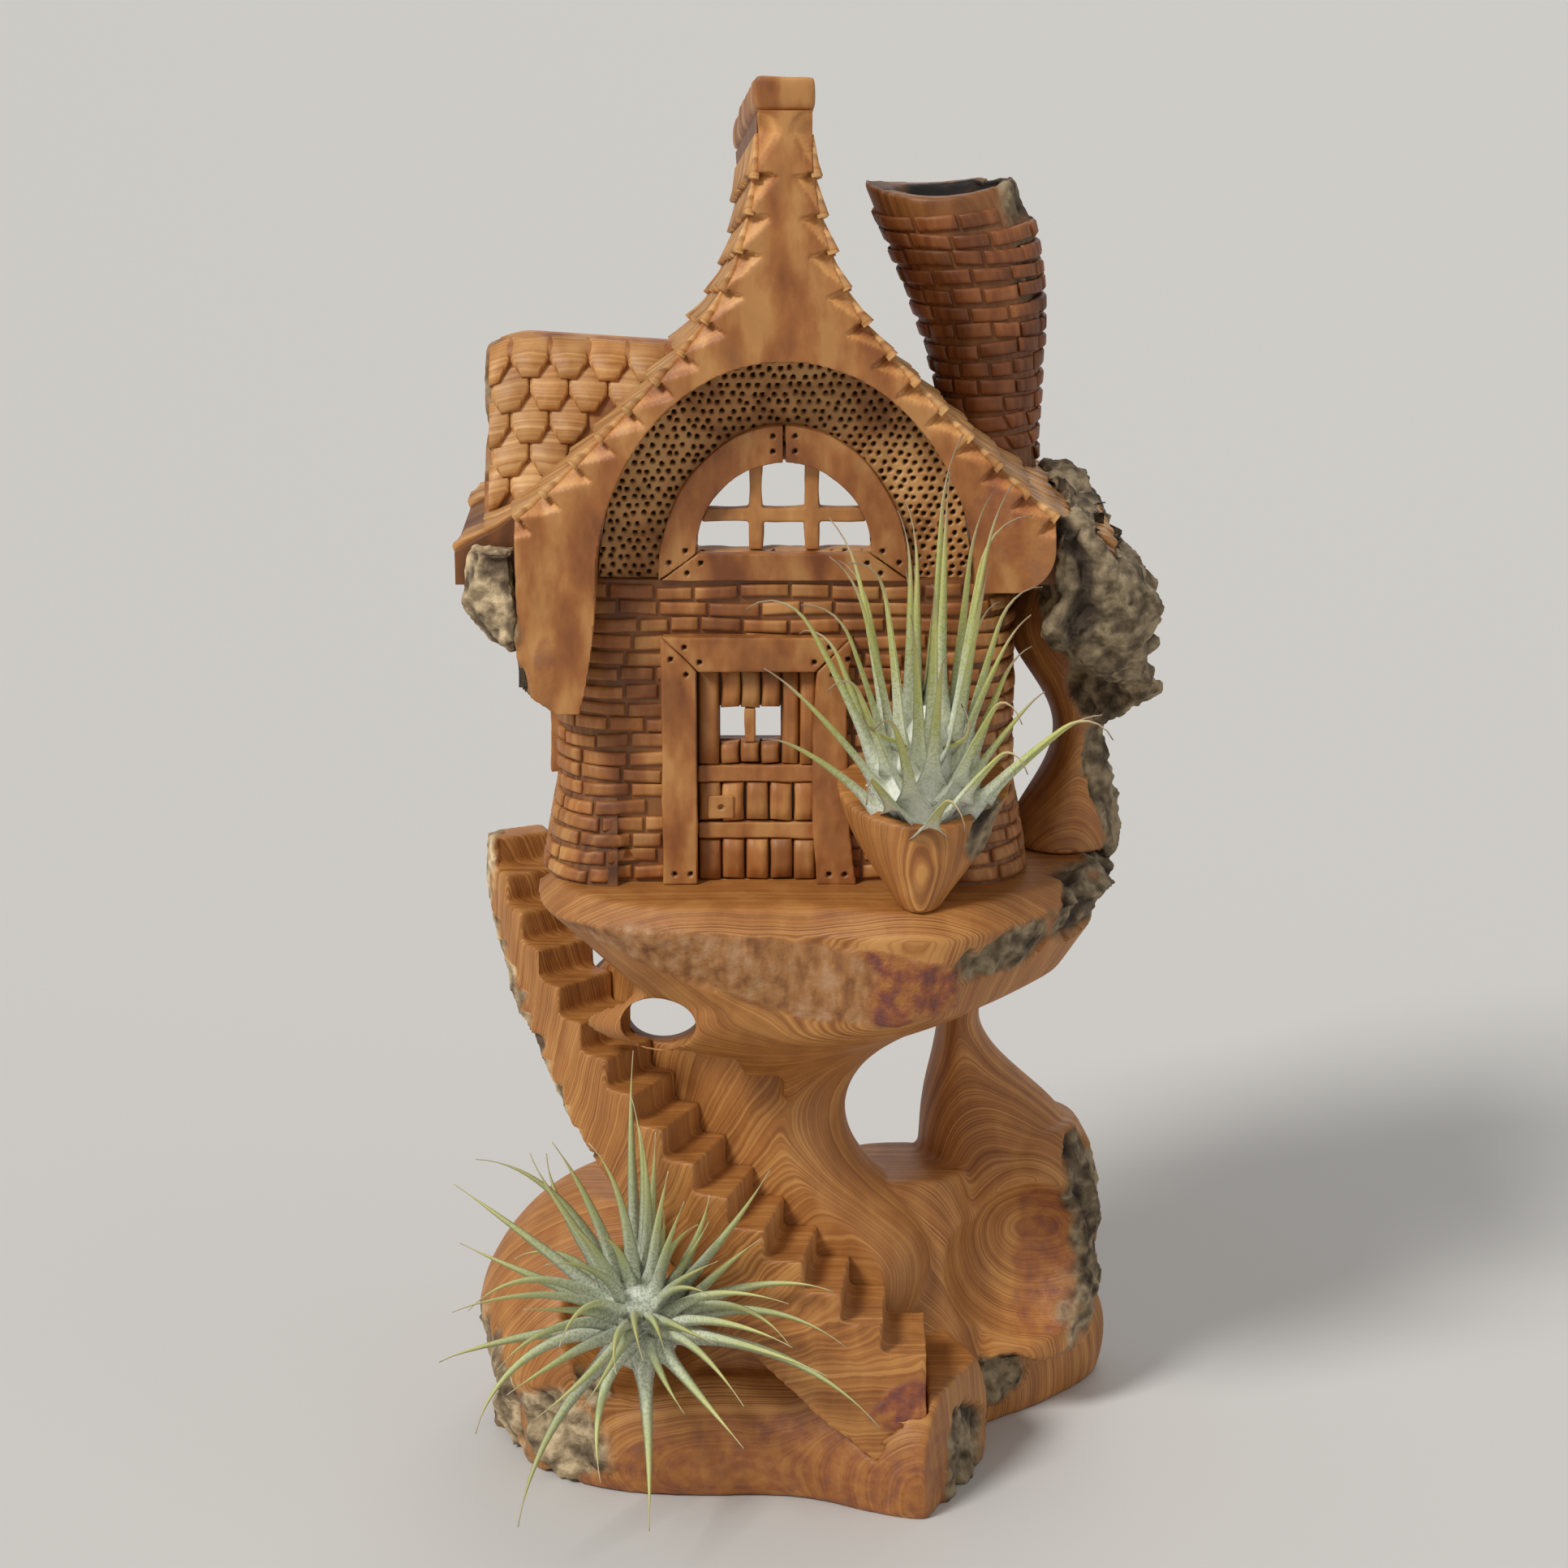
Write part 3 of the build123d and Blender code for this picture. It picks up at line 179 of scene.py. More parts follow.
def bark_material(name, dark, middle, light, layer_size, cloud_share, tilt=0.0):
    """Cut bark in three tones, with tilted layers of a size in millimetres and a share of clouds.

    Shares painted on the mesh bring in crust with painted shade in its hollows, flaky and red layers,
    and near-black painted shade in pits and the flue.
    """
    material, pen, shader = new_material(name)
    spot = pen.node("ShaderNodeTexCoord", {}, {}, "Object")
    tone = pen.painted("tone")
    crust = pen.painted("crust")
    red = pen.painted("red_layer")
    flake = pen.painted("flake")
    soot = pen.painted("soot")

    depth = pen.node("ShaderNodeSeparateXYZ", {}, {0: spot}, "Y")
    depth = depth + pen.node("ShaderNodeSeparateXYZ", {}, {0: spot}, "Z") * tilt
    swell = pen.noise(spot, SWELL_SIZE, 2.0)
    ripple = pen.noise(spot, RIPPLE_SIZE, 2.0)
    level = depth * (1 / MM) + (swell - 0.5) * LAYER_WARP + (ripple - 0.5) * RIPPLE_WARP
    broad = pen.noise(level, layer_size * 4.0, 2.0, "1D")
    fine = pen.noise(level, layer_size * 0.6, 3.0, "1D")
    grain = broad * 0.42 + fine * 0.58
    cut = grain.ramp([(0.37, dark), (0.5, middle), (0.61, light)])
    upright = pen.node("ShaderNodeMapping", {}, {"Vector": spot, "Scale": UPRIGHT_STRETCH})
    cloud = pen.noise(upright, CLOUD_SIZE, 7.0)
    clouds = cloud.ramp([(0.36, dark), (0.5, middle), (0.62, light)])
    wood = cut.mixed(clouds, cloud_share)

    crumbs = pen.noise(spot, CRUMB_SIZE, 8.0)
    lichen = pen.noise(spot, LICHEN_SIZE, 4.0)
    crust_tone = crumbs * 0.65 + lichen * 0.35
    crust_colour = crust_tone.ramp([(0.34, CRUST_DARK), (0.47, CRUST_GREY), (0.6, CRUST_PALE)])
    # Painted shade: the crust is darkened in its hollows.
    crust_colour = crust_colour.mixed(CRUST_DARK, pen.painted("hollow"))
    flakes = pen.noise(upright, FLAKE_SIZE, 6.0)
    flake_colour = flakes.ramp([(0.34, FLAKE_DARK), (0.5, FLAKE_TAN), (0.66, FLAKE_PINK)])
    red_colour = crumbs.ramp([(0.33, PURPLE_LAYER), (0.46, RED_LAYER), (0.6, middle)])
    shown = wood.mixed(flake_colour, flake).mixed(red_colour, red).mixed(crust_colour, crust)
    value = {"Value": 1.0 + tone * TONE_RANGE, "Color": shown}
    # The last mix is painted shade: near-black in pits and in the flue.
    shown = pen.node("ShaderNodeHueSaturation", {}, value).mixed(SHADE_BLACK, soot)

    pits = pen.noise(spot, PIT_SIZE, 6.0)
    rough = crust * 0.7 + red * 0.8 + flake * 0.6
    relief = grain * 0.35 * (1.0 - crust) + crumbs * crust * 2.2 + pits * (0.18 + rough)
    height = {"Strength": BARK_BUMP, "Distance": BARK_BUMP_DEPTH, "Height": relief}
    bump = pen.node("ShaderNodeBump", {}, height, "Normal")
    material.node_tree.links.new(shown.socket, shader["Base Color"])
    material.node_tree.links.new((0.52 + crust * 0.36 + soot * 0.2).socket, shader["Roughness"])
    material.node_tree.links.new(bump.socket, shader["Normal"])
    return material


carved = bark_material(
    "carved_layers", colour("834d1d"), colour("a96c32"), colour("c88f4d"),
    layer_size=0.5, cloud_share=0.3, tilt=0.15,
)


def node_mesh(*nodes):
    """Joined vertices and faces of CAD nodes."""
    verts = []
    faces = []
    for node in nodes:
        mesh = frame["nodes"][node].data
        first = len(verts)
        verts += [v.co.copy() for v in mesh.vertices]
        faces += [[first + i for i in p.vertices] for p in mesh.polygons]
    return verts, faces


def new_piece(name, verts, faces):
    """Object with a smoothly shaded mesh, in the scene."""
    mesh = bpy.data.meshes.new(name)
    mesh.from_pydata([tuple(v) for v in verts], [], faces)
    mesh.polygons.foreach_set("use_smooth", [True] * len(mesh.polygons))
    piece = bpy.data.objects.new(name, mesh)
    bpy.context.scene.collection.objects.link(piece)
    return piece


def carve(name, nodes, voxel, passes):
    """Piece with the joined form of CAD nodes, evenly meshed and eased by smoothing passes."""
    piece = new_piece(name, *node_mesh(*nodes))
    remesh = piece.modifiers.new("even", "REMESH")
    remesh.mode = "VOXEL"
    remesh.voxel_size = voxel * MM
    remesh.use_smooth_shade = True
    soften = piece.modifiers.new("ease", "SMOOTH")
    soften.iterations = passes
    graph = bpy.context.evaluated_depsgraph_get()
    mesh = bpy.data.meshes.new_from_object(piece.evaluated_get(graph))
    piece.modifiers.clear()
    piece.data = mesh
    return piece


def points_of(piece):
    """Vertices and their normals as arrays."""
    count = len(piece.data.vertices)
    spots = np.zeros(count * 3, np.float32)
    ways = np.zeros(count * 3, np.float32)
    piece.data.vertices.foreach_get("co", spots)
    piece.data.vertex_normals.foreach_get("vector", ways)
    return spots.reshape(-1, 3).astype(float), ways.reshape(-1, 3).astype(float)


def move_points(piece, spots):
    """Sets the vertices."""
    piece.data.vertices.foreach_set("co", spots.astype(np.float32).ravel())
    piece.data.update()


def paint(piece, name, share):
    """Paints a share on the vertices under a name."""
    layer = piece.data.attributes.get(name) or piece.data.attributes.new(name, "FLOAT", "POINT")
    layer.data.foreach_set("value", np.asarray(share, np.float32))


KEY_STEPS = np.array([374761393, 668265263, 2147483629])
KEY_MIX = 1274126177
KEY_BITS = 0xFFFF


def lattice(spots, seed):
    """Smooth random field from -1 to 1 on a unit lattice."""
    cell = np.floor(spots).astype(np.int64)
    inside = spots - cell
    inside = inside * inside * (3 - 2 * inside)
    total = np.zeros(len(spots))
    for corner in range(8):
        bits = np.array([corner & 1, corner >> 1 & 1, corner >> 2 & 1])
        key = (cell + bits) @ KEY_STEPS + seed * KEY_MIX
        key = (key ^ (key >> 13)) * KEY_MIX
        key = (key ^ (key >> 16)) & KEY_BITS
        total += np.prod(np.where(bits, inside, 1 - inside), axis=1) * (key / (KEY_BITS / 2) - 1)
    return total


def fractal(spots, size, octaves, seed):
    """Layered noise with features of a size in millimetres, each octave half as large."""
    total = np.zeros(len(spots))
    for i in range(octaves):
        total += lattice(spots / (size * MM) * 2 ** i, seed + i) / 2 ** i
    return total


def wobble(piece, size, depth, seed):
    """Uneven hand-cut surface: slow noise along the normal, size and depth in millimetres."""
    spots, ways = points_of(piece)
    move_points(piece, spots + ways * (fractal(spots, size, 3, seed) * depth * MM)[:, None])


PATCH_EDGE = 0.22


def torn_patch(spots, ovals, seed, tear=0.4):
    """Share from 0 to 1: inside any of the ovals, given by centre and radii, with a torn edge."""
    share = np.zeros(len(spots))
    torn = fractal(spots, size=12, octaves=4, seed=seed) * tear
    for centre, radii in ovals:
        distance = np.linalg.norm((spots / MM - centre) / radii, axis=1)
        share = np.maximum(share, np.clip((1 - distance + torn) / PATCH_EDGE, 0, 1))
    return share


def roughen(piece, share, depth, seed):
    """Crust: lumps, upright furrows, flakes and grit along the normal where the share is above 0."""
    spots, ways = points_of(piece)
    lumps = fractal(spots, size=15, octaves=4, seed=seed)
    furrows = 1 - 2 * np.abs(fractal(spots * (1, 1, 0.45), size=9, octaves=3, seed=seed + 7))
    flakes = np.floor(fractal(spots, size=11, octaves=2, seed=seed + 13) * 3) / 3
    grit = fractal(spots, size=3.4, octaves=2, seed=seed + 17)
    relief = 0.5 * lumps + 0.35 * furrows + 0.35 * flakes + 0.25 * grit - 0.35
    move_points(piece, spots + ways * (share * depth * MM * relief)[:, None])
    paint(piece, "crust", share)
    # Painted shade: the share that darkens the crust's hollows, where its relief sinks deepest.
    paint(piece, "hollow", share * np.clip((-0.4 - relief) / 0.45, 0, 0.9))


def finish_piece(piece, material, nodes=(), body="carving"):
    """Material, ride and the CAD nodes that the piece stands for."""
    piece.data.materials.clear()
    piece.data.materials.append(material)
    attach(piece, body)
    if nodes:
        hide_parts(*nodes)


STUMP_NODES = ("base_block", "trunk", "rear_leg", "deck")
STUMP_CRUST = (
    ((-80, -8, 14), (13, 32, 24)),
    ((-62, -36, 14), (15, 15, 20)),
    ((-52, -40, 30), (8, 10, 10)),
    ((75, 12, 46), (11, 26, 34)),
    ((52, 0, 12), (12, 12, 8)),
    ((42, -34, 8), (11, 16, 18)),
    ((50, -48, 144), (15, 14, 7)),
    ((67, -30, 150), (10, 18, 9)),
    ((75, -6, 150), (8, 20, 12)),
    ((-70, -24, 154), (5, 12, 7)),
)
# Painted light: crust on the left, towards the main light, is lightened by this much.
LIT_CRUST = 2.2
STUMP_BROWN = (
    ((-10, -50, 8), (54, 18, 17)),
    ((62, 8, 42), (10, 16, 20)),
)
BROWN_SHARE = 0.6
LIP_X = (-58, -40, -17, 2, 21, 37)
LIP_TOP = (151, 153, 152, 150, 148, 144)
LIP_FOOT = (149, 143, 134, 129, 128, 133)
LIP_EDGE = 1.2
LIP_TEAR = 0.8
LIP_STEP = 0.8
LIP_LAYERS = 2.5
LIP_STRETCH = (1, 1, 0.35)
RED_START = 12.0
RED_TEAR = 4.0
RED_FADE = 3.0


def lip_share(spots, ways):
    """Share of the deck's split front: a lens of flaky faces between an upper and a lower edge."""
    x = spots[:, 0] / MM
    z = spots[:, 2] / MM
    inside = np.minimum(np.interp(x, LIP_X, LIP_TOP) - z, z - np.interp(x, LIP_X, LIP_FOOT))
    reach = np.minimum(x - LIP_X[0], LIP_X[-1] - x)
    torn = np.minimum(inside + fractal(spots, size=9, octaves=3, seed=25) * LIP_TEAR, reach)
    front = np.clip((-ways[:, 1] - 0.35) / 0.2, 0, 1)
    return np.clip(torn / LIP_EDGE, 0, 1) * front


stump = carve("stump", STUMP_NODES, voxel=0.85, passes=8)
wobble(stump, size=30, depth=0.5, seed=5)
spots, ways = points_of(stump)
split = lip_share(spots, ways)
layers = np.floor(fractal(spots * LIP_STRETCH, size=8, octaves=2, seed=27) * LIP_LAYERS) / LIP_LAYERS
move_points(stump, spots + ways * (split * layers * LIP_STEP * MM)[:, None])
spots, _ = points_of(stump)
crust = torn_patch(spots, STUMP_CRUST, seed=21)
roughen(stump, crust, depth=3.4, seed=31)
brown = torn_patch(spots, STUMP_BROWN, seed=29) * BROWN_SHARE
red_edge = RED_START - fractal(spots, size=10, octaves=3, seed=23) * RED_TEAR
red_end = split * np.clip((spots[:, 0] / MM - red_edge) / RED_FADE, 0, 1)
paint(stump, "red_layer", np.maximum(red_end, brown))
paint(stump, "flake", split)
# Painted light: the crust on the stump's left side is lightened.
paint(stump, "tone", crust * (spots[:, 0] < 0) * LIT_CRUST)
spots, _ = points_of(stump)
spots[:, 2] = np.maximum(spots[:, 2], 0)
move_points(stump, spots)
finish_piece(stump, carved, STUMP_NODES)

# Stair: treads cut square with a saw and knife, on the ramp that winds round the trunk. A strip of crust
# is left along the outer edge of the upper flight, painted lighter as lit from the left.
EDGE_LEVEL = 5.0
STAIR_CRUST_WIDTH = 3.5
STAIR_CRUST_FOOT = 84.0
# Painted light: lightening of the crust strip on the stair's left edge.
STAIR_STRIP_LIT = 4.4
STAIR_RED = (((25, -50, 28), (8, 9, 9)),)


def edge_share(spots, side, width, seed):
    """Share of a torn strip, a width in millimetres, along the outermost edge on one side."""
    level = (spots[:, 2] / (EDGE_LEVEL * MM)).astype(int)
    reach = side * spots[:, 0] / MM
    outermost = np.full(level.max() + 1, reach.min())
    np.maximum.at(outermost, level, reach)
    torn = fractal(spots, size=8, octaves=3, seed=seed) * width * 0.6
    return np.clip((width - outermost[level] + reach + torn) / 1.5, 0, 1)


stair = carve("stair", ("stair_flight",), voxel=0.75, passes=1)
wobble(stair, size=12, depth=0.35, seed=41)
spots, _ = points_of(stair)
strip = edge_share(spots, -1, STAIR_CRUST_WIDTH, seed=43) * (spots[:, 2] > STAIR_CRUST_FOOT * MM)
roughen(stair, strip, depth=1.2, seed=47)
# Painted light: the crust strip along the stair's left edge is lightened.
paint(stair, "tone", strip * STAIR_STRIP_LIT)
paint(stair, "red_layer", torn_patch(spots, STAIR_RED, seed=53))
finish_piece(stair, carved, ("stair_flight",))

# Walls: a room with round corners, and brickwork cut into its faces with a knife. Each brick is left
# standing between narrow grooves, about a millimetre proud, and no two are quite alike.


def surface_of(*nodes):
    """Search tree over the faces of CAD nodes."""
    return BVHTree.FromPolygons(*node_mesh(*nodes))


class Patchwork:
    """Many small closed patches in one mesh, each with its own tone."""

    def __init__(self):
        self.verts = []
        self.faces = []
        self.tones = []

    def add(self, verts, faces, tone):
        """Adds one patch."""
        first = len(self.verts)
        self.verts += verts
        self.faces += [[first + i for i in face] for face in faces]
        self.tones += [tone] * len(verts)

    def piece(self, name):
        """Object of all patches, with faces that look outward."""
        made = new_piece(name, self.verts, self.faces)
        shell = bmesh.new()
        shell.from_mesh(made.data)
        bmesh.ops.recalc_face_normals(shell, faces=shell.faces)
        shell.to_mesh(made.data)
        shell.free()
        paint(made, "tone", self.tones)
        return made


RIM_HEIGHT = 0.62


def pillow(spot, height, sink, rim_a, rim_b):
    """Closed raised patch over a unit square; spot(a, b, lift) gives its points, height(b) its lift."""
    steps_a = (0, 0, rim_a, 0.35, 0.65, 1 - rim_a, 1, 1)
    steps_b = (0, 0, rim_b, 0.35, 0.65, 1 - rim_b, 1, 1)
    side = len(steps_a)
    verts = []
    for i, a in enumerate(steps_a):
        for j, b in enumerate(steps_b):
            ring = min(i, j, side - 1 - i, side - 1 - j)
            lift = (-sink, height(b) * RIM_HEIGHT, height(b))[min(ring, 2)]
            verts.append(spot(a, b, lift))
    faces = [
        (i * side + j, i * side + j + 1, (i + 1) * side + j + 1, (i + 1) * side + j)
        for i in range(side - 1)
        for j in range(side - 1)
    ]
    edge = list(range(side - 1))
    border = edge + [i * side + side - 1 for i in edge]
    border += [side * side - 1 - j for j in edge] + [(side - 1 - i) * side for i in edge]
    return verts, faces + [tuple(border)]


CAST_REACH = 30 * MM
CAST_SLACK = 2.5 * MM
BRICK_JOINT = 0.85 * MM
BRICK_SINK = 0.5 * MM
BRICK_RIM = 0.5 * MM
COURSE_WAVE = 0.35 * MM
WAVE_RATE = 0.13 / MM
WAVE_SHIFT = 1.7


def brickwork(name, surface, path, length, low, high, course, brick, tilt, seed):
    """Courses of bricks on a surface; path(along, z) gives a plan point and its outward way."""
    chance = np.random.default_rng(seed)
    work = Patchwork()
    for row in range(round((high - low) / course)):
        along = -brick * chance.random()
        foot = low + row * course
        while along < length:
            size = brick * chance.uniform(0.7, 1.25)
            skew = chance.uniform(-0.25, 0.25, 2) * MM
            proud = chance.uniform(0.75, 1.2) * MM
            start = along + BRICK_JOINT / 2
            rise = (course - BRICK_JOINT) * chance.uniform(0.85, 1.0)

            def spot(a, b, lift):
                u = start + a * (size - BRICK_JOINT)
                wave = math.sin(u * WAVE_RATE + row * WAVE_SHIFT) * COURSE_WAVE
                slant = skew[0] + (skew[1] - skew[0]) * a
                z = foot + BRICK_JOINT / 2 + b * rise + wave + slant
                x, y, way_x, way_y = path(u, z)
                z += tilt * x
                outside = Vector((x + way_x * CAST_REACH, y + way_y * CAST_REACH, z))
                cast = surface.ray_cast(outside, Vector((-way_x, -way_y, 0)))
                if cast[0] is None or cast[3] > CAST_REACH + CAST_SLACK:
                    return None
                return (cast[0].x + way_x * lift, cast[0].y + way_y * lift, z)

            verts, faces = pillow(spot, lambda b: proud, BRICK_SINK, BRICK_RIM / size, 0.14)
            if None not in verts:
                work.add(verts, faces, chance.uniform(-0.6, 0.5))
            along += size
    return work.piece(name)


WALL_NODES = ("front_wall", "left_wall", "right_wall")
CORNER_RADIUS = 14 * MM
FOOT_FLARE = 4 * MM
REAR_OPENING = 66 * MM
BRICK_COURSE = 4.05 * MM
BRICK_LENGTH = 10.2 * MM
BRICK_FOOT = 0.5 * MM
front_low, front_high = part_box("front_wall")
left_low, left_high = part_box("left_wall")
HOUSE_X = (front_low[0] + front_high[0]) / 2
HOUSE_HALF = HOUSE_X - FOOT_FLARE - left_low[0]
HOUSE_FRONT = front_low[1]
HOUSE_BACK = left_high[1]
DECK_TOP = front_low[2]
EAVE_Z = front_high[2]


def run_of(line):
    """Distance along a line of points, at each of them."""
    return np.concatenate([[0], np.cumsum(np.linalg.norm(np.diff(line, axis=0), axis=1))])


corner_x = HOUSE_HALF - CORNER_RADIUS
plan = [(-REAR_OPENING / 2, HOUSE_BACK, 0, 1)]
for turn, middle_x, middle_y in (
    (0.5, -corner_x, HOUSE_BACK - CORNER_RADIUS),
    (1.0, -corner_x, HOUSE_FRONT + CORNER_RADIUS),
    (1.5, corner_x, HOUSE_FRONT + CORNER_RADIUS),
    (2.0, corner_x, HOUSE_BACK - CORNER_RADIUS),
):
    for angle in np.linspace(turn, turn + 0.5, 9) * math.pi:
        way = (math.cos(angle), math.sin(angle))
        plan.append((middle_x + CORNER_RADIUS * way[0], middle_y + CORNER_RADIUS * way[1], *way))
plan.append((REAR_OPENING / 2, HOUSE_BACK, 0, 1))
plan = np.array(plan) + (HOUSE_X, 0, 0, 0)
plan_reach = run_of(plan[:, :2])


def wall_path(along, z):
    """Plan point of the walls at a distance along them, with its outward way."""
    return [np.interp(along, plan_reach, plan[:, i]) for i in range(4)]


def dress(nodes, material):
    """Gives a material to CAD nodes that show."""
    for node in nodes:
        frame["nodes"][node].data.materials.clear()
        frame["nodes"][node].data.materials.append(material)


carved_front = bark_material(
    "carved_front", colour("77401a"), colour("a46630"), colour("c48e51"), layer_size=2.0, cloud_share=0.66,
)
# Mortar: darker bark in the joints under the bricks and shingles, partly their own stain and partly painted
# shade.
mortar_stain_and_shade = bark_material(
    "mortar_stain_and_shade", colour("4f2c12"), colour("7a4922"), colour("93602f"), layer_size=1.6, cloud_share=0.4,
)
bricks = brickwork(
    "brick_courses", surface_of(*WALL_NODES), wall_path, length=plan_reach[-1],
    low=DECK_TOP + BRICK_FOOT, high=EAVE_Z, course=BRICK_COURSE, brick=BRICK_LENGTH, tilt=0.0, seed=61,
)
finish_piece(bricks, carved_front, ("wall_bricks",))
dress(WALL_NODES, mortar_stain_and_shade)

# Door and window boards: flat strips of bark left standing proud of the wall, with mitred corners,
# eased edges and drilled peg holes. The lattice is cut free between them.
# Strength of the painted shade at the bottoms of pits.
PIT_SHADE = 0.92
PIT_EDGE = 0.3
FAR_OFF = 9.0


def drill(piece, holes, radius, depth):
    """Round pits in the front of a piece at (x, z) places, with painted shade at their bottoms."""
    spots, ways = points_of(piece)
    near = np.full(len(spots), FAR_OFF)
    for x, z in holes:
        near = np.minimum(near, np.hypot(spots[:, 0] - x, spots[:, 2] - z) / radius)
    pit = np.clip((1 + PIT_EDGE / 2 - near) / PIT_EDGE, 0, 1) * (ways[:, 1] < -0.2)
    spots[:, 1] += pit * depth
    move_points(piece, spots)
    # Painted shade: the pits' bottoms are painted near-black.
    paint(piece, "soot", np.clip(pit * 1.1, 0, 1) * PIT_SHADE)


BOARD_NODES = (
    "door_lintel", "door_left_jamb", "door_right_jamb", "window_left_board", "window_right_board",
    "window_sill", "window_lattice", "side_window_frame", "door_lower_batten", "door_upper_batten",
    "door_mullion", "door_lock_plate",
)
PEG_RADIUS = 0.55 * MM
PEG_DEPTH = 1.6 * MM
# Insets of the pegs from a board's edges in millimetres: from its left and foot, or from its right and
# top where they are negative.
PEG_INSETS = {
    "door_lintel": ((5.0, -2.4), (8.6, -6.0), (-5.0, -2.4), (-8.6, -6.0)),
    "door_left_jamb": ((2.2, -5.2), (5.8, -9.0), (2.8, 2.6), (6.6, 2.6)),
    "door_right_jamb": ((-2.2, -5.2), (-5.8, -9.0), (-2.8, 2.6), (-6.6, 2.6)),
    "window_sill": ((6.4, 1.9), (9.6, 4.3), (-6.4, 1.9), (-9.6, 4.3)),
    "window_left_board": ((2.6, 4.4), (6.4, 7.2), (-2.4, -2.6), (-2.4, -6.2)),
    "window_right_board": ((-2.6, 4.4), (-6.4, 7.2), (2.4, -2.6), (2.4, -6.2)),
}


def peg_places(node):
    """Places (x, z) of a board's pegs; the lock plate has its keyhole in the middle."""
    low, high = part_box(node)
    if node == "door_lock_plate":
        return [((low[0] + high[0]) / 2, (low[2] + high[2]) / 2)]
    return [
        ((low[0] if x > 0 else high[0]) + x * MM, (low[2] if z > 0 else high[2]) + z * MM)
        for x, z in PEG_INSETS.get(node, ())
    ]


for number, node in enumerate(BOARD_NODES):
    board = carve(node + "_cut", (node,), voxel=0.36, passes=2)
    wobble(board, size=9, depth=0.28, seed=71 + number)
    drill(board, peg_places(node), PEG_RADIUS, PEG_DEPTH)
    finish_piece(board, carved_front, (node,))

# Door planks: short boards of the door leaf, side by side behind the battens. Each is a strip of the
# same bark, parted by knife cuts and cut a little differently from its neighbours.
PLANK_NODES = (
    "door_bottom_planks", "door_middle_planks", "door_short_planks", "door_top_planks", "door_stiles",
)
PLANK_RIM = 0.5 * MM


def solids_of(node):
    """Low and high corners of each separate solid in a CAD node."""
    verts, faces = node_mesh(node)
    owner = {}
    keys = [tuple(round(c * 1e6) for c in v) for v in verts]

    def root(key):
        while owner.setdefault(key, key) != key:
            key = owner[key]
        return key

    for face in faces:
        for i in face[1:]:
            owner[root(keys[i])] = root(keys[face[0]])
    groups = {}
    for key, v in zip(keys, verts):
        groups.setdefault(root(key), []).append(v)
    return [
        (np.min(np.array(group), axis=0), np.max(np.array(group), axis=0))
        for group in sorted(groups.values(), key=lambda g: (g[0][2], g[0][0]))
    ]


chance = np.random.default_rng(83)
for node in PLANK_NODES:
    planks = Patchwork()
    for low, high in solids_of(node):
        jitter = chance.uniform(-0.35, 0.35, 4) * MM
        proud = chance.uniform(0.0, 0.5) * MM

        def spot(a, b, lift):
            bow = math.sin(b * math.pi) * jitter[2]
            x = low[0] + (high[0] - low[0]) * a + bow
            z = low[2] + (high[2] - low[2]) * b + jitter[0] * (1 - a) + jitter[1] * a
            return (x, high[1] - lift, z)

        rim_a = PLANK_RIM / (high[0] - low[0])
        rim_b = PLANK_RIM / (high[2] - low[2])
        verts, faces = pillow(spot, lambda b: high[1] - low[1] + proud, 0.0, rim_a, rim_b)
        planks.add(verts, faces, chance.uniform(-0.5, 0.5))
    finish_piece(planks.piece(node + "_cut"), carved_front, (node,))

# Gable panel: a thin pale wall of bark that closes the vault behind the window, set into the roof's
# hollow and drilled all over with small holes in rough rows.
HOLE_PITCH = 2.35 * MM
HOLE_ROW = HOLE_PITCH * 0.87
HOLE_NUDGE = 0.42 * MM
HOLE_RADIUS = 0.5 * MM
HOLE_DEPTH = 2.2 * MM
panel_low, panel_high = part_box("gable_panel")
pale_cut = bark_material(
    "pale_cut", colour("8c5826"), colour("bd854a"), colour("d9aa6c"), layer_size=1.1, cloud_share=0.35,
)
chance = np.random.default_rng(89)
holes = []
for row in range(int((panel_high[2] - panel_low[2]) / HOLE_ROW)):
    for column in range(int((panel_high[0] - panel_low[0]) / HOLE_PITCH) + 1):
        nudge = chance.uniform(-1, 1, 2) * HOLE_NUDGE
        x = panel_low[0] + (column + 0.5 * (row % 2)) * HOLE_PITCH + nudge[0]
        holes.append((x, panel_low[2] + (row + 0.5) * HOLE_ROW + nudge[1]))
gable_wall = carve("gable_wall", ("gable_panel",), voxel=0.36, passes=1)
wobble(gable_wall, size=7, depth=0.25, seed=97)
drill(gable_wall, holes, HOLE_RADIUS, HOLE_DEPTH)
finish_piece(gable_wall, pale_cut, ("gable_panel",))

# Gable board: the front of the roof, smoothed with a gouge. Along both slopes the end of every course
# is chamfered to a long tooth, its facet painted lighter as a highlight. Its left foot hangs below the eave
# and keeps a strip of crust painted lighter as lit, and its right foot is rounded.
ROOF_NODES = ("left_roof", "right_roof", "gable_board")
COURSES = 14
PROFILE_STEPS = 240
PROFILE_CAST = 0.2
RIDGE_SLACK = 0.4 * MM
EAVE_SLACK = 0.3 * MM
WAY_STEPS = 6
TOOTH_WIDTH = 5.4 * MM
TOOTH_DEPTH = 0.7
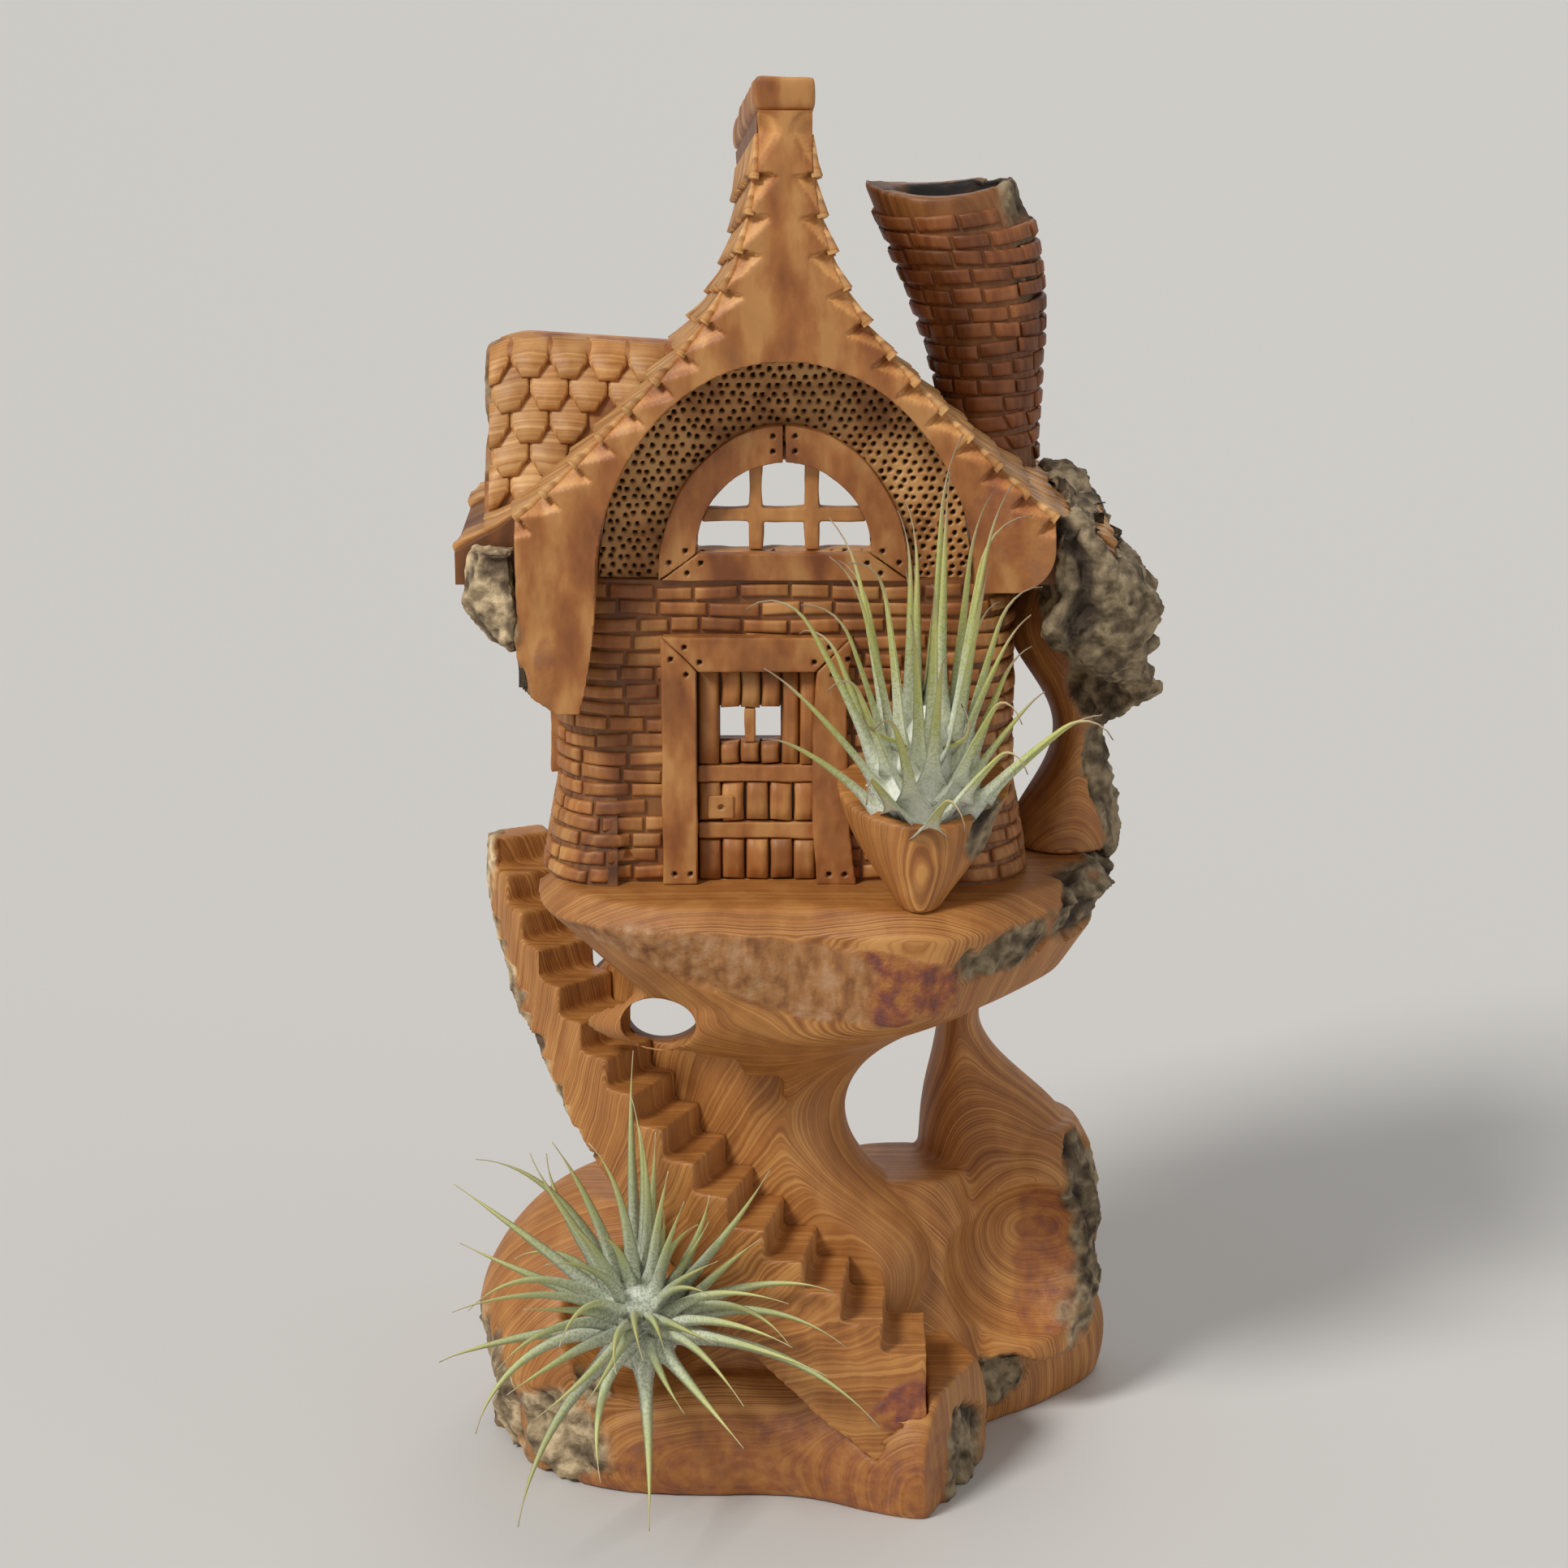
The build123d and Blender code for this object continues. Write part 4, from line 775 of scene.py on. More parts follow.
# Painted highlight: lightening of the teeth's chamfer facets.
TOOTH_HIGHLIGHT = 0.9
TOOTH_FACE = 4 * MM
TOOTH_LEAST = 0.2 * MM
FOOT_ROUND = 10.0 * MM
BEHIND_GABLE = 1.0 * MM
GABLE_CRUST = (
    ((-73, -42, 226), (10, 9, 15)),
    ((-70, -42, 208), (6, 9, 12)),
)
GABLE_RED = (
    ((-60.5, -46, 214), (3.2, 6, 9)),
    ((52, -46, 252), (12, 10, 14)),
    ((57, -46, 238), (8, 10, 9)),
)
GABLE_RED_SHARE = 0.5
GOUGE_STRETCH = (1, 1, 0.3)
GOUGE_DEPTH = 0.3 * MM
gable_low, gable_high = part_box("gable_board")
roof_low, roof_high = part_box("left_roof")
GABLE_FRONT = gable_low[1]
ROOF_BACK = roof_high[1]
roof_surface = surface_of(*ROOF_NODES)


def roof_profile(side, y):
    """Evenly spaced points down one slope at a depth y, from the ridge to the eave."""
    heart = Vector((HOUSE_X, y, EAVE_Z))
    spots = []
    for angle in np.linspace(0, math.pi / 2, PROFILE_STEPS * 2):
        way = Vector((side * math.sin(angle), 0, math.cos(angle)))
        hit = roof_surface.ray_cast(heart + way * PROFILE_CAST, -way)[0]
        if hit is not None:
            spots.append((hit.x, hit.z))
    spots = np.array(spots)
    below_ridge = np.argmax(spots[:, 1] < spots[0, 1] - RIDGE_SLACK)
    reach = np.abs(spots[:, 0] - HOUSE_X)
    eave = np.argmax(reach > reach.max() - EAVE_SLACK)
    spots = spots[below_ridge:eave + 1]
    run = run_of(spots)
    even = np.linspace(0, run[-1], PROFILE_STEPS + 1)
    return np.stack([np.interp(even, run, spots[:, 0]), np.interp(even, run, spots[:, 1])], axis=1)


near_y = roof_low[1] + BEHIND_GABLE
far_y = ROOF_BACK - BEHIND_GABLE
slopes = {side: (roof_profile(side, near_y), roof_profile(side, far_y)) for side in (-1, 1)}


def slope_point(side, share, y):
    """Point on a slope at a share of its length from the ridge, and its outward way."""
    blend = (y - near_y) / (far_y - near_y)
    near, far = slopes[side]
    line = near + (far - near) * blend
    place = np.clip(share, 0, 1) * PROFILE_STEPS
    first = int(min(place, PROFILE_STEPS - 1))
    spot = line[first] + (line[first + 1] - line[first]) * (share * PROFILE_STEPS - first)
    ahead = line[min(first + WAY_STEPS, PROFILE_STEPS)] - line[max(first - WAY_STEPS, 0)]
    ahead = ahead / np.linalg.norm(ahead)
    return Vector((spot[0], y, spot[1])), Vector((-side * ahead[1], 0, side * ahead[0]))


gable = carve("gable", ("gable_board",), voxel=0.5, passes=1)
spots, ways = points_of(gable)
flutes = fractal(spots * GOUGE_STRETCH, size=5, octaves=2, seed=101)
swells = fractal(spots, size=16, octaves=2, seed=103)
spots[:, 1] -= (flutes + swells) * GOUGE_DEPTH * (ways[:, 1] < -0.5)
facets = np.zeros(len(spots))
for side in (-1, 1):
    near, far = slopes[side]
    line = near + (far - near) * (GABLE_FRONT - near_y) / (far_y - near_y)
    apart = np.linalg.norm(spots[:, None, [0, 2]] - line[None, ::2], axis=2)
    nearest = np.argmin(apart, axis=1)
    inward = apart[np.arange(len(spots)), nearest]
    share = (nearest / (len(line) // 2) * COURSES) % 1
    tooth = np.maximum(TOOTH_WIDTH * (1 - share) - inward, 0) * TOOTH_DEPTH
    here = (spots[:, 1] < GABLE_FRONT + TOOTH_FACE) & (side * (spots[:, 0] - HOUSE_X) > 0)
    spots[:, 1] += np.where(here, tooth, 0)
    facets += here * (tooth > TOOTH_LEAST)
over = np.clip(spots[:, 0] - gable_high[0] + FOOT_ROUND, 0, FOOT_ROUND)
right_foot = spots[over > 0, 2].min()
rounded = right_foot + FOOT_ROUND - np.sqrt(FOOT_ROUND ** 2 - over ** 2)
spots[:, 2] = np.where(over > 0, np.maximum(spots[:, 2], rounded), spots[:, 2])
move_points(gable, spots)
foot_crust = torn_patch(spots, GABLE_CRUST, seed=107, tear=0.3)
roughen(gable, foot_crust, depth=1.6, seed=109)
# Painted highlight on the tooth facets, and painted light on the crust of the left foot.
paint(gable, "tone", np.maximum(facets * TOOTH_HIGHLIGHT, foot_crust * LIT_CRUST))
paint(gable, "red_layer", torn_patch(spots, GABLE_RED, seed=113, tear=0.25) * GABLE_RED_SHARE)
finish_piece(gable, carved_front, ("gable_board",))

# Roof shingles and ridge bar: courses of small shingles cut into both slopes, thin at the top and thick
# at the butt, each butt standing over the course below. A plain bar of bark is left along the ridge.
SHINGLE_WIDTH = 6.6 * MM
SHINGLE_TIP = 0.5 * MM
SHINGLE_BUTT = 2.1 * MM
SHINGLE_LAP = 0.1
SHINGLE_GAP = 0.5 * MM
SHINGLE_SINK = 0.6 * MM
SHINGLE_LEAST = 2 * MM
SHINGLE_RIM_ALONG = 0.03
SHINGLE_RIM_DOWN = 0.015
DORMER_Y = 1.0 * MM
DORMER_HALF = 22.0 * MM
DORMER_CROWN = 7.0 * MM
DORMER_SPRING = 48.0 * MM
DORMER_LAP = 1.5 * MM
hood_low, hood_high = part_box("dormer_hood")


def in_dormer(spot):
    """Whether a point of the left slope lies under the dormer."""
    rise = (spot.z - EAVE_Z) / DORMER_SPRING
    half = DORMER_HALF - (DORMER_HALF - DORMER_CROWN) * rise
    return rise < 1 and spot.x > hood_low[0] and abs(spot.y - DORMER_Y) < half - DORMER_LAP


for side, node in ((-1, "left_shingles"), (1, "right_shingles")):
    chance = np.random.default_rng(127 + side)
    shingles = Patchwork()
    for course in range(COURSES):
        start = GABLE_FRONT
        while start < ROOF_BACK - SHINGLE_LEAST:
            width = SHINGLE_WIDTH * chance.uniform(0.7, 1.3)
            end = min(start + width, ROOF_BACK)
            slack = chance.uniform(-0.06, 0.06)
            butt = SHINGLE_BUTT * chance.uniform(0.8, 1.15)
            setback = TOOTH_WIDTH * TOOTH_DEPTH if start == GABLE_FRONT else 0.0

            def spot(a, b, lift):
                y = start + setback * (1 - b) * (1 - a) + (end - start - SHINGLE_GAP) * a
                share = (course + b * (1 + SHINGLE_LAP + slack)) / COURSES
                point, way = slope_point(side, share, y)
                hit = roof_surface.ray_cast(point + way * CAST_REACH / 2, -way)
                if hit[0] is None or hit[3] > CAST_REACH / 2 + CAST_SLACK:
                    return None
                if side < 0 and in_dormer(hit[0]):
                    return None
                return tuple(hit[0] + way * lift)

            def height(b):
                return SHINGLE_TIP + (butt - SHINGLE_TIP) * b

            verts, faces = pillow(spot, height, SHINGLE_SINK, SHINGLE_RIM_ALONG, SHINGLE_RIM_DOWN)
            if None not in verts:
                shingles.add(verts, faces, chance.uniform(-0.5, 0.5))
            start = end
    finish_piece(shingles.piece(node + "_cut"), pale_cut, (node,))
dress(("left_roof", "right_roof"), mortar_stain_and_shade)
cap = carve("ridge_bar", ("ridge_cap",), voxel=0.8, passes=32)
wobble(cap, size=14, depth=0.4, seed=131)
finish_piece(cap, carved_front, ("ridge_cap",))

# Dormer: a hollow hood of bark on the left slope, with crust left round its mouth. Staggered rows of
# pointed plates are cut on both its sides.
PLATE_HALF = 4.5 * MM
PLATE_PITCH = 9.3 * MM
PLATE_ROW = 7.8 * MM
PLATE_RISE = 5.6 * MM
PLATE_BUTT = 2.3 * MM
PLATE_START = 1.2 * MM
PLATE_ROWS = 7
PLATE_COLUMNS = 6
PLATE_FIRST = 1.5 * MM
PLATE_FOOT = 4.6 * MM
PLATE_SHOULDER = -1.4 * MM
PLATE_SINK = 0.5 * MM
PLATE_RIM = 0.16
PLATE_CLEAR = 1.0 * MM
MOUTH_DROP = 3.2 * MM
MOUTH_REACH = 12 * MM
RIDGE_LEVEL = 10 * MM
RIDGE_FALL = 0.06
MOUTH_CRUST = 3.5 * MM
MOUTH_FOOT = 20 * MM


def plate(outline, spot, height, sink, rim):
    """Closed raised patch over a convex outline of (u, v) points; spot(u, v, lift) places it."""
    outline = np.array(outline)
    middle = outline.mean(axis=0)
    count = len(outline)
    verts = [spot(*point, -sink) for point in outline]
    verts += [spot(*point, height(point[1]) * 0.6) for point in outline]
    inner = middle + (outline - middle) * (1 - rim)
    verts += [spot(*point, height(point[1])) for point in inner]
    verts.append(spot(*middle, height(middle[1])))
    faces = [tuple(range(count))]
    for i in range(count):
        j = (i + 1) % count
        faces.append((i, j, count + j, count + i))
        faces.append((count + i, count + j, 2 * count + j, 2 * count + i))
        faces.append((2 * count + i, 2 * count + j, 3 * count))
    return verts, faces


def crown_drop(u):
    """Fall of the dormer's ridge towards its mouth and towards the roof."""
    at_mouth = MOUTH_DROP * np.maximum(0, 1 - u / MOUTH_REACH) ** 2
    return at_mouth + RIDGE_FALL * np.maximum(0, u - RIDGE_LEVEL)


hood = carve("dormer", ("dormer_hood",), voxel=0.8, passes=10)
spots, _ = points_of(hood)
spots[:, 2] -= crown_drop(spots[:, 0] - hood_low[0]) * (spots[:, 2] - EAVE_Z) / DORMER_SPRING
move_points(hood, spots)
spots, _ = points_of(hood)
mouth = (spots[:, 0] < hood_low[0] + MOUTH_CRUST) & (spots[:, 2] > EAVE_Z + MOUTH_FOOT)
torn = np.clip(fractal(spots, size=8, octaves=3, seed=137) * 0.5 + 0.7, 0, 1)
roughen(hood, mouth * torn, depth=1.6, seed=139)
finish_piece(hood, carved_front, ("dormer_hood",))
slope_run = DORMER_HALF - DORMER_CROWN
slope_length = math.hypot(slope_run, DORMER_SPRING)
crown_rise = hood_high[2] - EAVE_Z - DORMER_SPRING
crown_radius = (DORMER_CROWN ** 2 + crown_rise ** 2) / (2 * crown_rise)
crown_sweep = math.asin(DORMER_CROWN / crown_radius)


def dormer_point(side, u, v, lift):
    """Point over a dormer's side, u along the ridge and v up its slope and round its crown."""
    if v < slope_length:
        y = DORMER_HALF - slope_run * v / slope_length + DORMER_SPRING / slope_length * lift
        z = DORMER_SPRING * v / slope_length + slope_run / slope_length * lift
    else:
        turn = crown_sweep - (v - slope_length) / crown_radius
        y = (crown_radius + lift) * math.sin(turn)
        z = hood_high[2] - EAVE_Z - crown_radius + (crown_radius + lift) * math.cos(turn)
    z *= 1 - crown_drop(u) / DORMER_SPRING
    return Vector((hood_low[0] + u, DORMER_Y + side * y, EAVE_Z + z))


chance = np.random.default_rng(149)
plates = Patchwork()
for side in (-1, 1):
    for row in range(PLATE_ROWS):
        for column in range(PLATE_COLUMNS):
            u = (column + 0.5 * (row % 2)) * PLATE_PITCH + PLATE_FIRST
            v = PLATE_FOOT + row * PLATE_ROW
            nudge = chance.uniform(-0.5, 0.5, 4) * MM
            heart = dormer_point(side, u, v, 0.0)
            from_left = Vector((hood_low[0] - CAST_REACH, heart.y, heart.z))
            slope_hit = roof_surface.ray_cast(from_left, Vector((1, 0, 0)))[0]
            tone = chance.uniform(-0.4, 0.5)
            if slope_hit is None or heart.x > slope_hit.x - PLATE_CLEAR:
                continue

            def spot(x, z, lift):
                return tuple(dormer_point(side, max(u + x, PLATE_START), v + z, lift))

            def height(z):
                return PLATE_BUTT * (0.55 - 0.5 * z / PLATE_RISE)

            shape = [
                (-PLATE_HALF, PLATE_RISE + nudge[0]), (PLATE_HALF, PLATE_RISE + nudge[1]),
                (PLATE_HALF, PLATE_SHOULDER), (PLATE_HALF * 0.45 + nudge[2], -PLATE_RISE),
                (-PLATE_HALF * 0.5 + nudge[3], -PLATE_RISE), (-PLATE_HALF, PLATE_SHOULDER),
            ]
            plates.add(*plate(shape, spot, height, PLATE_SINK, PLATE_RIM), tone)
finish_piece(plates.piece("dormer_plates"), pale_cut, ("dormer_shingles",))

# Chimney: a leaning stack that swells to its mouth, brick cut all round, with a plain band under the
# rim, a flue darkened inside with painted shade, and crust left on its right edge.
CHIMNEY_COURSE = 4.5 * MM
CHIMNEY_BRICK = 9.6 * MM
CHIMNEY_FOOT = 1 * MM
CHIMNEY_TILT = 0.06
STACK_ROUND = 92 * MM
RIM_BAND = 4.5 * MM
RIM_INSET = 1.5 * MM
ABOVE_ALL = 1.0
NO_BRICK = 1.0
FLUE_DEPTH = 34 * MM
FLUE_SIDE = 2 * MM
STACK_RINGS = 24
RING_FOOT = 2 * MM
RING_HALF = 3 * MM
STACK_CRUST = (
    ((47, 24, 312), (8, 12, 16)),
    ((54, 22, 296), (7, 12, 12)),
)
stack_low, stack_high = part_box("chimney")
stack = carve("chimney_stack", ("chimney",), voxel=0.8, passes=4)
spots, ways = points_of(stack)
stack_levels = np.linspace(stack_low[2] + RING_FOOT, stack_high[2] - RING_HALF, STACK_RINGS)
stack_middles = []
for level in stack_levels:
    ring = spots[np.abs(spots[:, 2] - level) < RING_HALF]
    stack_middles.append((ring.min(axis=0) + ring.max(axis=0))[:2] / 2)
stack_middles = np.array(stack_middles)


def stack_middle(z):
    """Plan middle of the stack at a level."""
    return np.array([np.interp(z, stack_levels, stack_middles[:, i]) for i in range(2)])


chimney_surface = surface_of("chimney")


def stack_path(along, z):
    """Plan point on the stack's surface at a distance round it, or off it in the band under the rim."""
    angle = along / STACK_ROUND * 2 * math.pi
    way = (math.cos(angle), math.sin(angle))
    x, y = stack_middle(z)
    outside = Vector((x + way[0] * 2 * CAST_REACH, y + way[1] * 2 * CAST_REACH, z))
    hit = chimney_surface.ray_cast(outside, Vector((-way[0], -way[1], 0)))[0]
    if hit is not None:
        above = Vector((hit.x - way[0] * RIM_INSET, hit.y - way[1] * RIM_INSET, ABOVE_ALL))
        rim = chimney_surface.ray_cast(above, Vector((0, 0, -1)))[0]
        if rim is None or z <= rim.z - RIM_BAND:
            return hit.x, hit.y, *way
    return x, y + NO_BRICK, *way


# Painted shade: the flue's inner faces near its top are painted near-black, with a torn lower edge.
inward = np.array([np.dot(way[:2], spot[:2] - stack_middle(spot[2])) for spot, way in zip(spots, ways)])
flue_top = spots[:, 2] > stack_high[2] - FLUE_DEPTH
flue_shade = np.clip(fractal(spots, size=7, octaves=3, seed=151) * 0.5 + 0.95, 0, 1)
paint(stack, "soot", ((inward < -FLUE_SIDE) & flue_top) * flue_shade)
roughen(stack, torn_patch(spots, STACK_CRUST, seed=157, tear=0.3), depth=2.0, seed=163)
finish_piece(stack, mortar_stain_and_shade, ("chimney",))
chimney_red = bark_material(
    "chimney_red", colour("54290f"), colour("80461f"), colour("a06536"), layer_size=2.0, cloud_share=0.6,
)
stack_bricks = brickwork(
    "chimney_bricks", chimney_surface, stack_path, length=STACK_ROUND,
    low=stack_low[2] + CHIMNEY_FOOT, high=stack_high[2],
    course=CHIMNEY_COURSE, brick=CHIMNEY_BRICK, tilt=CHIMNEY_TILT, seed=167,
)
finish_piece(stack_bricks, chimney_red)

# Uncut bark: the pillar beside the house and the lumps under both eaves, left as the slab's outside
# was, with deep furrows, flakes and holes. The pillar's inner side is cut smooth and dark red.
PILLAR_CRUST_WIDTH = 5.0
LUMP_REACH = 3.0
PILLAR_NODES = ("right_pillar", "right_eave_bark")
PILLAR_RED = 0.25
# Painted light: lightening of the left lump under the eave.
LEFT_BARK_LIT = 3.96
edge = carve("bark_pillar", PILLAR_NODES, voxel=0.8, passes=4)
spots, _ = points_of(edge)
lump = surface_of("right_eave_bark")
apart = np.array([lump.find_nearest(Vector(spot))[3] for spot in spots])
lump_share = np.clip((LUMP_REACH * MM - apart) / MM, 0, 1)
rough = np.maximum(edge_share(spots, 1, PILLAR_CRUST_WIDTH, seed=173), lump_share)
roughen(edge, rough, depth=4.0, seed=181)
paint(edge, "red_layer", (1 - rough) * PILLAR_RED)
finish_piece(edge, carved, PILLAR_NODES)
left_edge = carve("left_bark", ("left_eave_bark",), voxel=0.8, passes=4)
spots, _ = points_of(left_edge)
roughen(left_edge, np.ones(len(spots)), depth=2.4, seed=191)
# Painted light: the whole left lump is lightened.
paint(left_edge, "tone", np.full(len(spots), LEFT_BARK_LIT))
finish_piece(left_edge, carved, ("left_eave_bark",))

# Pocket: a leaf-shaped cup beside the door, carved across the layers so that they run round it like
# contour lines, with a bit of crust at its right corner.
POCKET_CRUST = (((43, -51, 177), (7, 9, 9)),)
pocket = carve("pocket", ("planter_pocket",), voxel=0.6, passes=5)
wobble(pocket, size=16, depth=0.4, seed=193)
spots, _ = points_of(pocket)
roughen(pocket, torn_patch(spots, POCKET_CRUST, seed=197, tear=0.35), depth=1.8, seed=199)
finish_piece(pocket, carved, ("planter_pocket",))

# Air plants: rosettes of channelled leaves without roots, broad and felted with silver scales at the
# base, green above, and thin, dry and curled at the tip. They sit loose and lift out of their hollows.
GOLDEN_ANGLE = math.radians(137.508)
LEAF_RINGS = 22
LEAF_ACROSS = (-1, -0.5, 0, 0.5, 1)
LEAF_UNDER = (0.5, 0, -0.5)
FELT = colour("f3f3e9")
SCALE_SIZE = 0.75 * MM
STREAK_SIZE = 6 * MM
LEAF_BUMP = 0.4
LEAF_BUMP_DEPTH = 0.3 * MM
LEAF_ROUGHNESS = 0.62
LEAF_TONE_RANGE = 0.25
DRY_TIP = 0.9
TIP_WIDTH = 0.07
SHEATH_SHARE = 0.15
CLASP_SHARE = 0.1
CLASP_LEAN = 0.5
HOOK_START = 0.66
HOOK_RATE = 8.6
CHANNEL = 0.55
ROOT_THICK = 0.95 * MM
TIP_THICK = 0.2 * MM
CORE_SIDES = 20
FLOOR_CLEARANCE = 3 * MM
LEAN_TRIES = 9
LEAN_STEP = 0.2
brick_faces = [list(face.vertices) for face in bricks.data.polygons]
neighbours = (
    surface_of("front_wall", "right_wall", "door_right_jamb", "gable_board", "gable_panel", "stair_flight"),
    BVHTree.FromPolygons([v.co for v in bricks.data.vertices], brick_faces),
)


def plant_material(name, stops, felt):
    """Leaf skin coloured from root to tip, under a felt of fine pale scales."""
    material, pen, shader = new_material(name)
    spot = pen.node("ShaderNodeTexCoord", {}, {}, "Object")
    along = pen.painted("along")
    streak = pen.noise(spot, STREAK_SIZE, 3.0)
    skin = (along + (streak - 0.5) * 0.14).ramp(stops)
    scales = pen.noise(spot, SCALE_SIZE, 2.0)
    frost = scales.ramp([(0.38, (0.0, 0.0, 0.0)), (0.56, (1.0, 1.0, 1.0))])
    bare = along.ramp([(0.1, (1.0, 1.0, 1.0)), (0.55, (0.2, 0.2, 0.2)), (0.8, (0.08, 0.08, 0.08))])
    both = {0: 1.0, 6: frost, 7: bare}
    cover = pen.node("ShaderNodeMix", {"data_type": "RGBA", "blend_type": "MULTIPLY"}, both, 2)
    cover = pen.node("ShaderNodeRGBToBW", {}, {0: cover}) * felt
    value = {"Value": 1.0 + pen.painted("tone") * LEAF_TONE_RANGE, "Color": skin.mixed(FELT, cover)}
    shown = pen.node("ShaderNodeHueSaturation", {}, value)
    height = {"Strength": LEAF_BUMP, "Distance": LEAF_BUMP_DEPTH, "Height": scales}
    bump = pen.node("ShaderNodeBump", {}, height, "Normal")
    material.node_tree.links.new(shown.socket, shader["Base Color"])
    material.node_tree.links.new(bump.socket, shader["Normal"])
    shader["Roughness"].default_value = LEAF_ROUGHNESS
    return material


def leaf_width(share, width, sheath):
    """Width of a leaf at a share of its length: a broad sheath, a strap and a fine point."""
    strap = max(0.0, 1 - share / DRY_TIP) ** 0.9 + TIP_WIDTH
    return width * strap * (1 + (sheath - 1) * math.exp(-((share / SHEATH_SHARE) ** 2)))


def tube_faces(total, size):
    """Faces of a tube with closed ends, over a total of points in rings of a size."""
    faces = [tuple(range(size)), tuple(range(total - size, total))]
    for first in range(0, total - size, size):
        for i in range(size):
            j = (i + 1) % size
            faces.append((first + i, first + j, first + size + j, first + size + i))
    return faces


def leaf(plane, turn, root, radius, leans, length, width, sheath, curl, drift, droop):
    """Points, faces and shares from root to tip of one leaf; plane is an origin and three ways."""
    origin, side, back, axis = plane
    point = origin + axis * root
    verts = []
    shares = []
    ring_size = len(LEAF_ACROSS) + len(LEAF_UNDER)
    for ring in range(LEAF_RINGS + 1):
        share = ring / LEAF_RINGS
        swing = turn + drift * share ** 2
        out = side * math.cos(swing) + back * math.sin(swing)
        across = back * math.cos(swing) - side * math.sin(swing)
        if ring == 0:
            point = point + out * radius
        clasp = math.exp(-((share / CLASP_SHARE) ** 2)) * CLASP_LEAN
        hook = curl * max(0, share - HOOK_START) ** 2 * HOOK_RATE
        lean = leans[0] + (leans[1] - leans[0]) * share ** 1.3 + clasp + hook
        ahead = axis * math.cos(lean) + out * math.sin(lean) - Vector((0, 0, droop * share ** 2))
        ahead.normalize()
        inner = across.cross(ahead)
        half = leaf_width(share, width, sheath) / 2
        thick = ROOT_THICK * (1 - share) + TIP_THICK
        for q in LEAF_ACROSS:
            verts.append(point + across * (q * half) + inner * (q * q * half * CHANNEL))
        for q in LEAF_UNDER:
            sunk = q * q * half * CHANNEL - thick * (1 - q * q)
            verts.append(point + across * (q * half) + inner * sunk)
        shares += [share] * ring_size
        point = point + ahead * (length / LEAF_RINGS)
    verts = [(v.x, v.y, max(v.z, FLOOR_CLEARANCE)) for v in verts]
    return verts, tube_faces(len(verts), ring_size), shares


def heart_of(plane, profile):
    """Round core of a plant, turned from (radius, height) points."""
    origin, side, back, axis = plane
    verts = []
    for radius, height in profile:
        for i in range(CORE_SIDES):
            angle = i / CORE_SIDES * 2 * math.pi
            out = side * math.cos(angle) + back * math.sin(angle)
            verts.append(tuple(origin + axis * height + out * radius))
    return verts, tube_faces(len(verts), CORE_SIDES)


def grow(name, joint, origin, habit, seed):
    """One plant: a core, and leaves from the outermost to the innermost by the golden angle.

    A leaf that would run into a neighbour leans away from it, step by step.
    """
    axis = Vector(next(j["axis"] for j in frame["joints"] if j["name"] == joint))
    side = Vector((1, 0, 0))
    plane = (Vector(origin) * MM, side, axis.cross(side), axis)
    chance = np.random.default_rng(seed)
    work = Patchwork()
    verts, faces = heart_of(plane, [(r * MM, h * MM) for r, h in habit["core"]])
    work.add(verts, faces, 0.0)
    shares = [0.0] * len(verts)
    count = habit["count"]
    for i in range(count):
        place = i / (count - 1)
        turn = i * GOLDEN_ANGLE + chance.uniform(-0.25, 0.25)
        hold = 1 - habit["held_back"] * max(0, math.sin(turn))
        hold -= habit["held_right"] * max(0, math.cos(turn))
        values = [first + (last - first) * place for first, last in habit["ranges"]]
        root, radius, root_lean, tip_lean, length, width, sheath, curl = values
        spread = chance.uniform(0.8, 1.15)
        bend = math.radians(curl) * chance.uniform(-0.1, 1.3)
        length *= chance.uniform(*habit["lengths"]) * MM
        drift = chance.uniform(-1, 1) * habit["drift"]
        droop = chance.uniform(0, 1) * habit["droop"]
        for _ in range(LEAN_TRIES):
            leans = (math.radians(root_lean) * hold, math.radians(tip_lean) * hold * spread)
            grown = leaf(
                plane, turn, root * MM, radius * MM, leans, length, width * MM, sheath, bend, drift, droop,
            )
            blade = BVHTree.FromPolygons(grown[0], grown[1])
            if not any(blade.overlap(near) for near in neighbours):
                break
            hold -= LEAN_STEP
        work.add(grown[0], grown[1], chance.uniform(-0.5, 0.5))
        shares += grown[2]
    plant = work.piece(name)
    paint(plant, "along", shares)
    return plant


# Ranges run from the outermost leaf to the innermost: root height, root radius, lean at the root and
# at the tip in degrees, length, width, sheath and curl of the tip in degrees. A core's points are radius
# and height, and sizes are in millimetres.
UPPER_HEART = (28, -46, 183)
LOWER_HEART = (-40, -41, 48)
UPPER_HABIT = {
    "core": ((2, -11.5), (8, -9), (10.4, -3), (10.6, 3), (8, 12), (4, 20), (1, 26)),
    "count": 38,
    "held_back": 0.8,
    "held_right": 0.0,
    "lengths": (0.72, 1.08),
    "drift": 0.5,
    "droop": 0.0,
    "ranges": ((-3, 14), (8.8, 2), (38, 2), (48, 8), (46, 84), (4.4, 3.7), (3.3, 2.1), (190, 50)),
}
LOWER_HABIT = {
    "core": ((4, -22), (9, -14), (10.5, -4), (9, 5), (5, 12), (1.5, 16)),
    "count": 52,
    "held_back": 0.5,
    "held_right": 0.15,
    "lengths": (0.5, 1.08),
    "drift": 0.9,
    "droop": 0.7,
    "ranges": ((0, 12), (7, 2), (62, 8), (118, 42), (62, 52), (4.3, 3.7), (1.7, 1.4), (20, 10)),
}
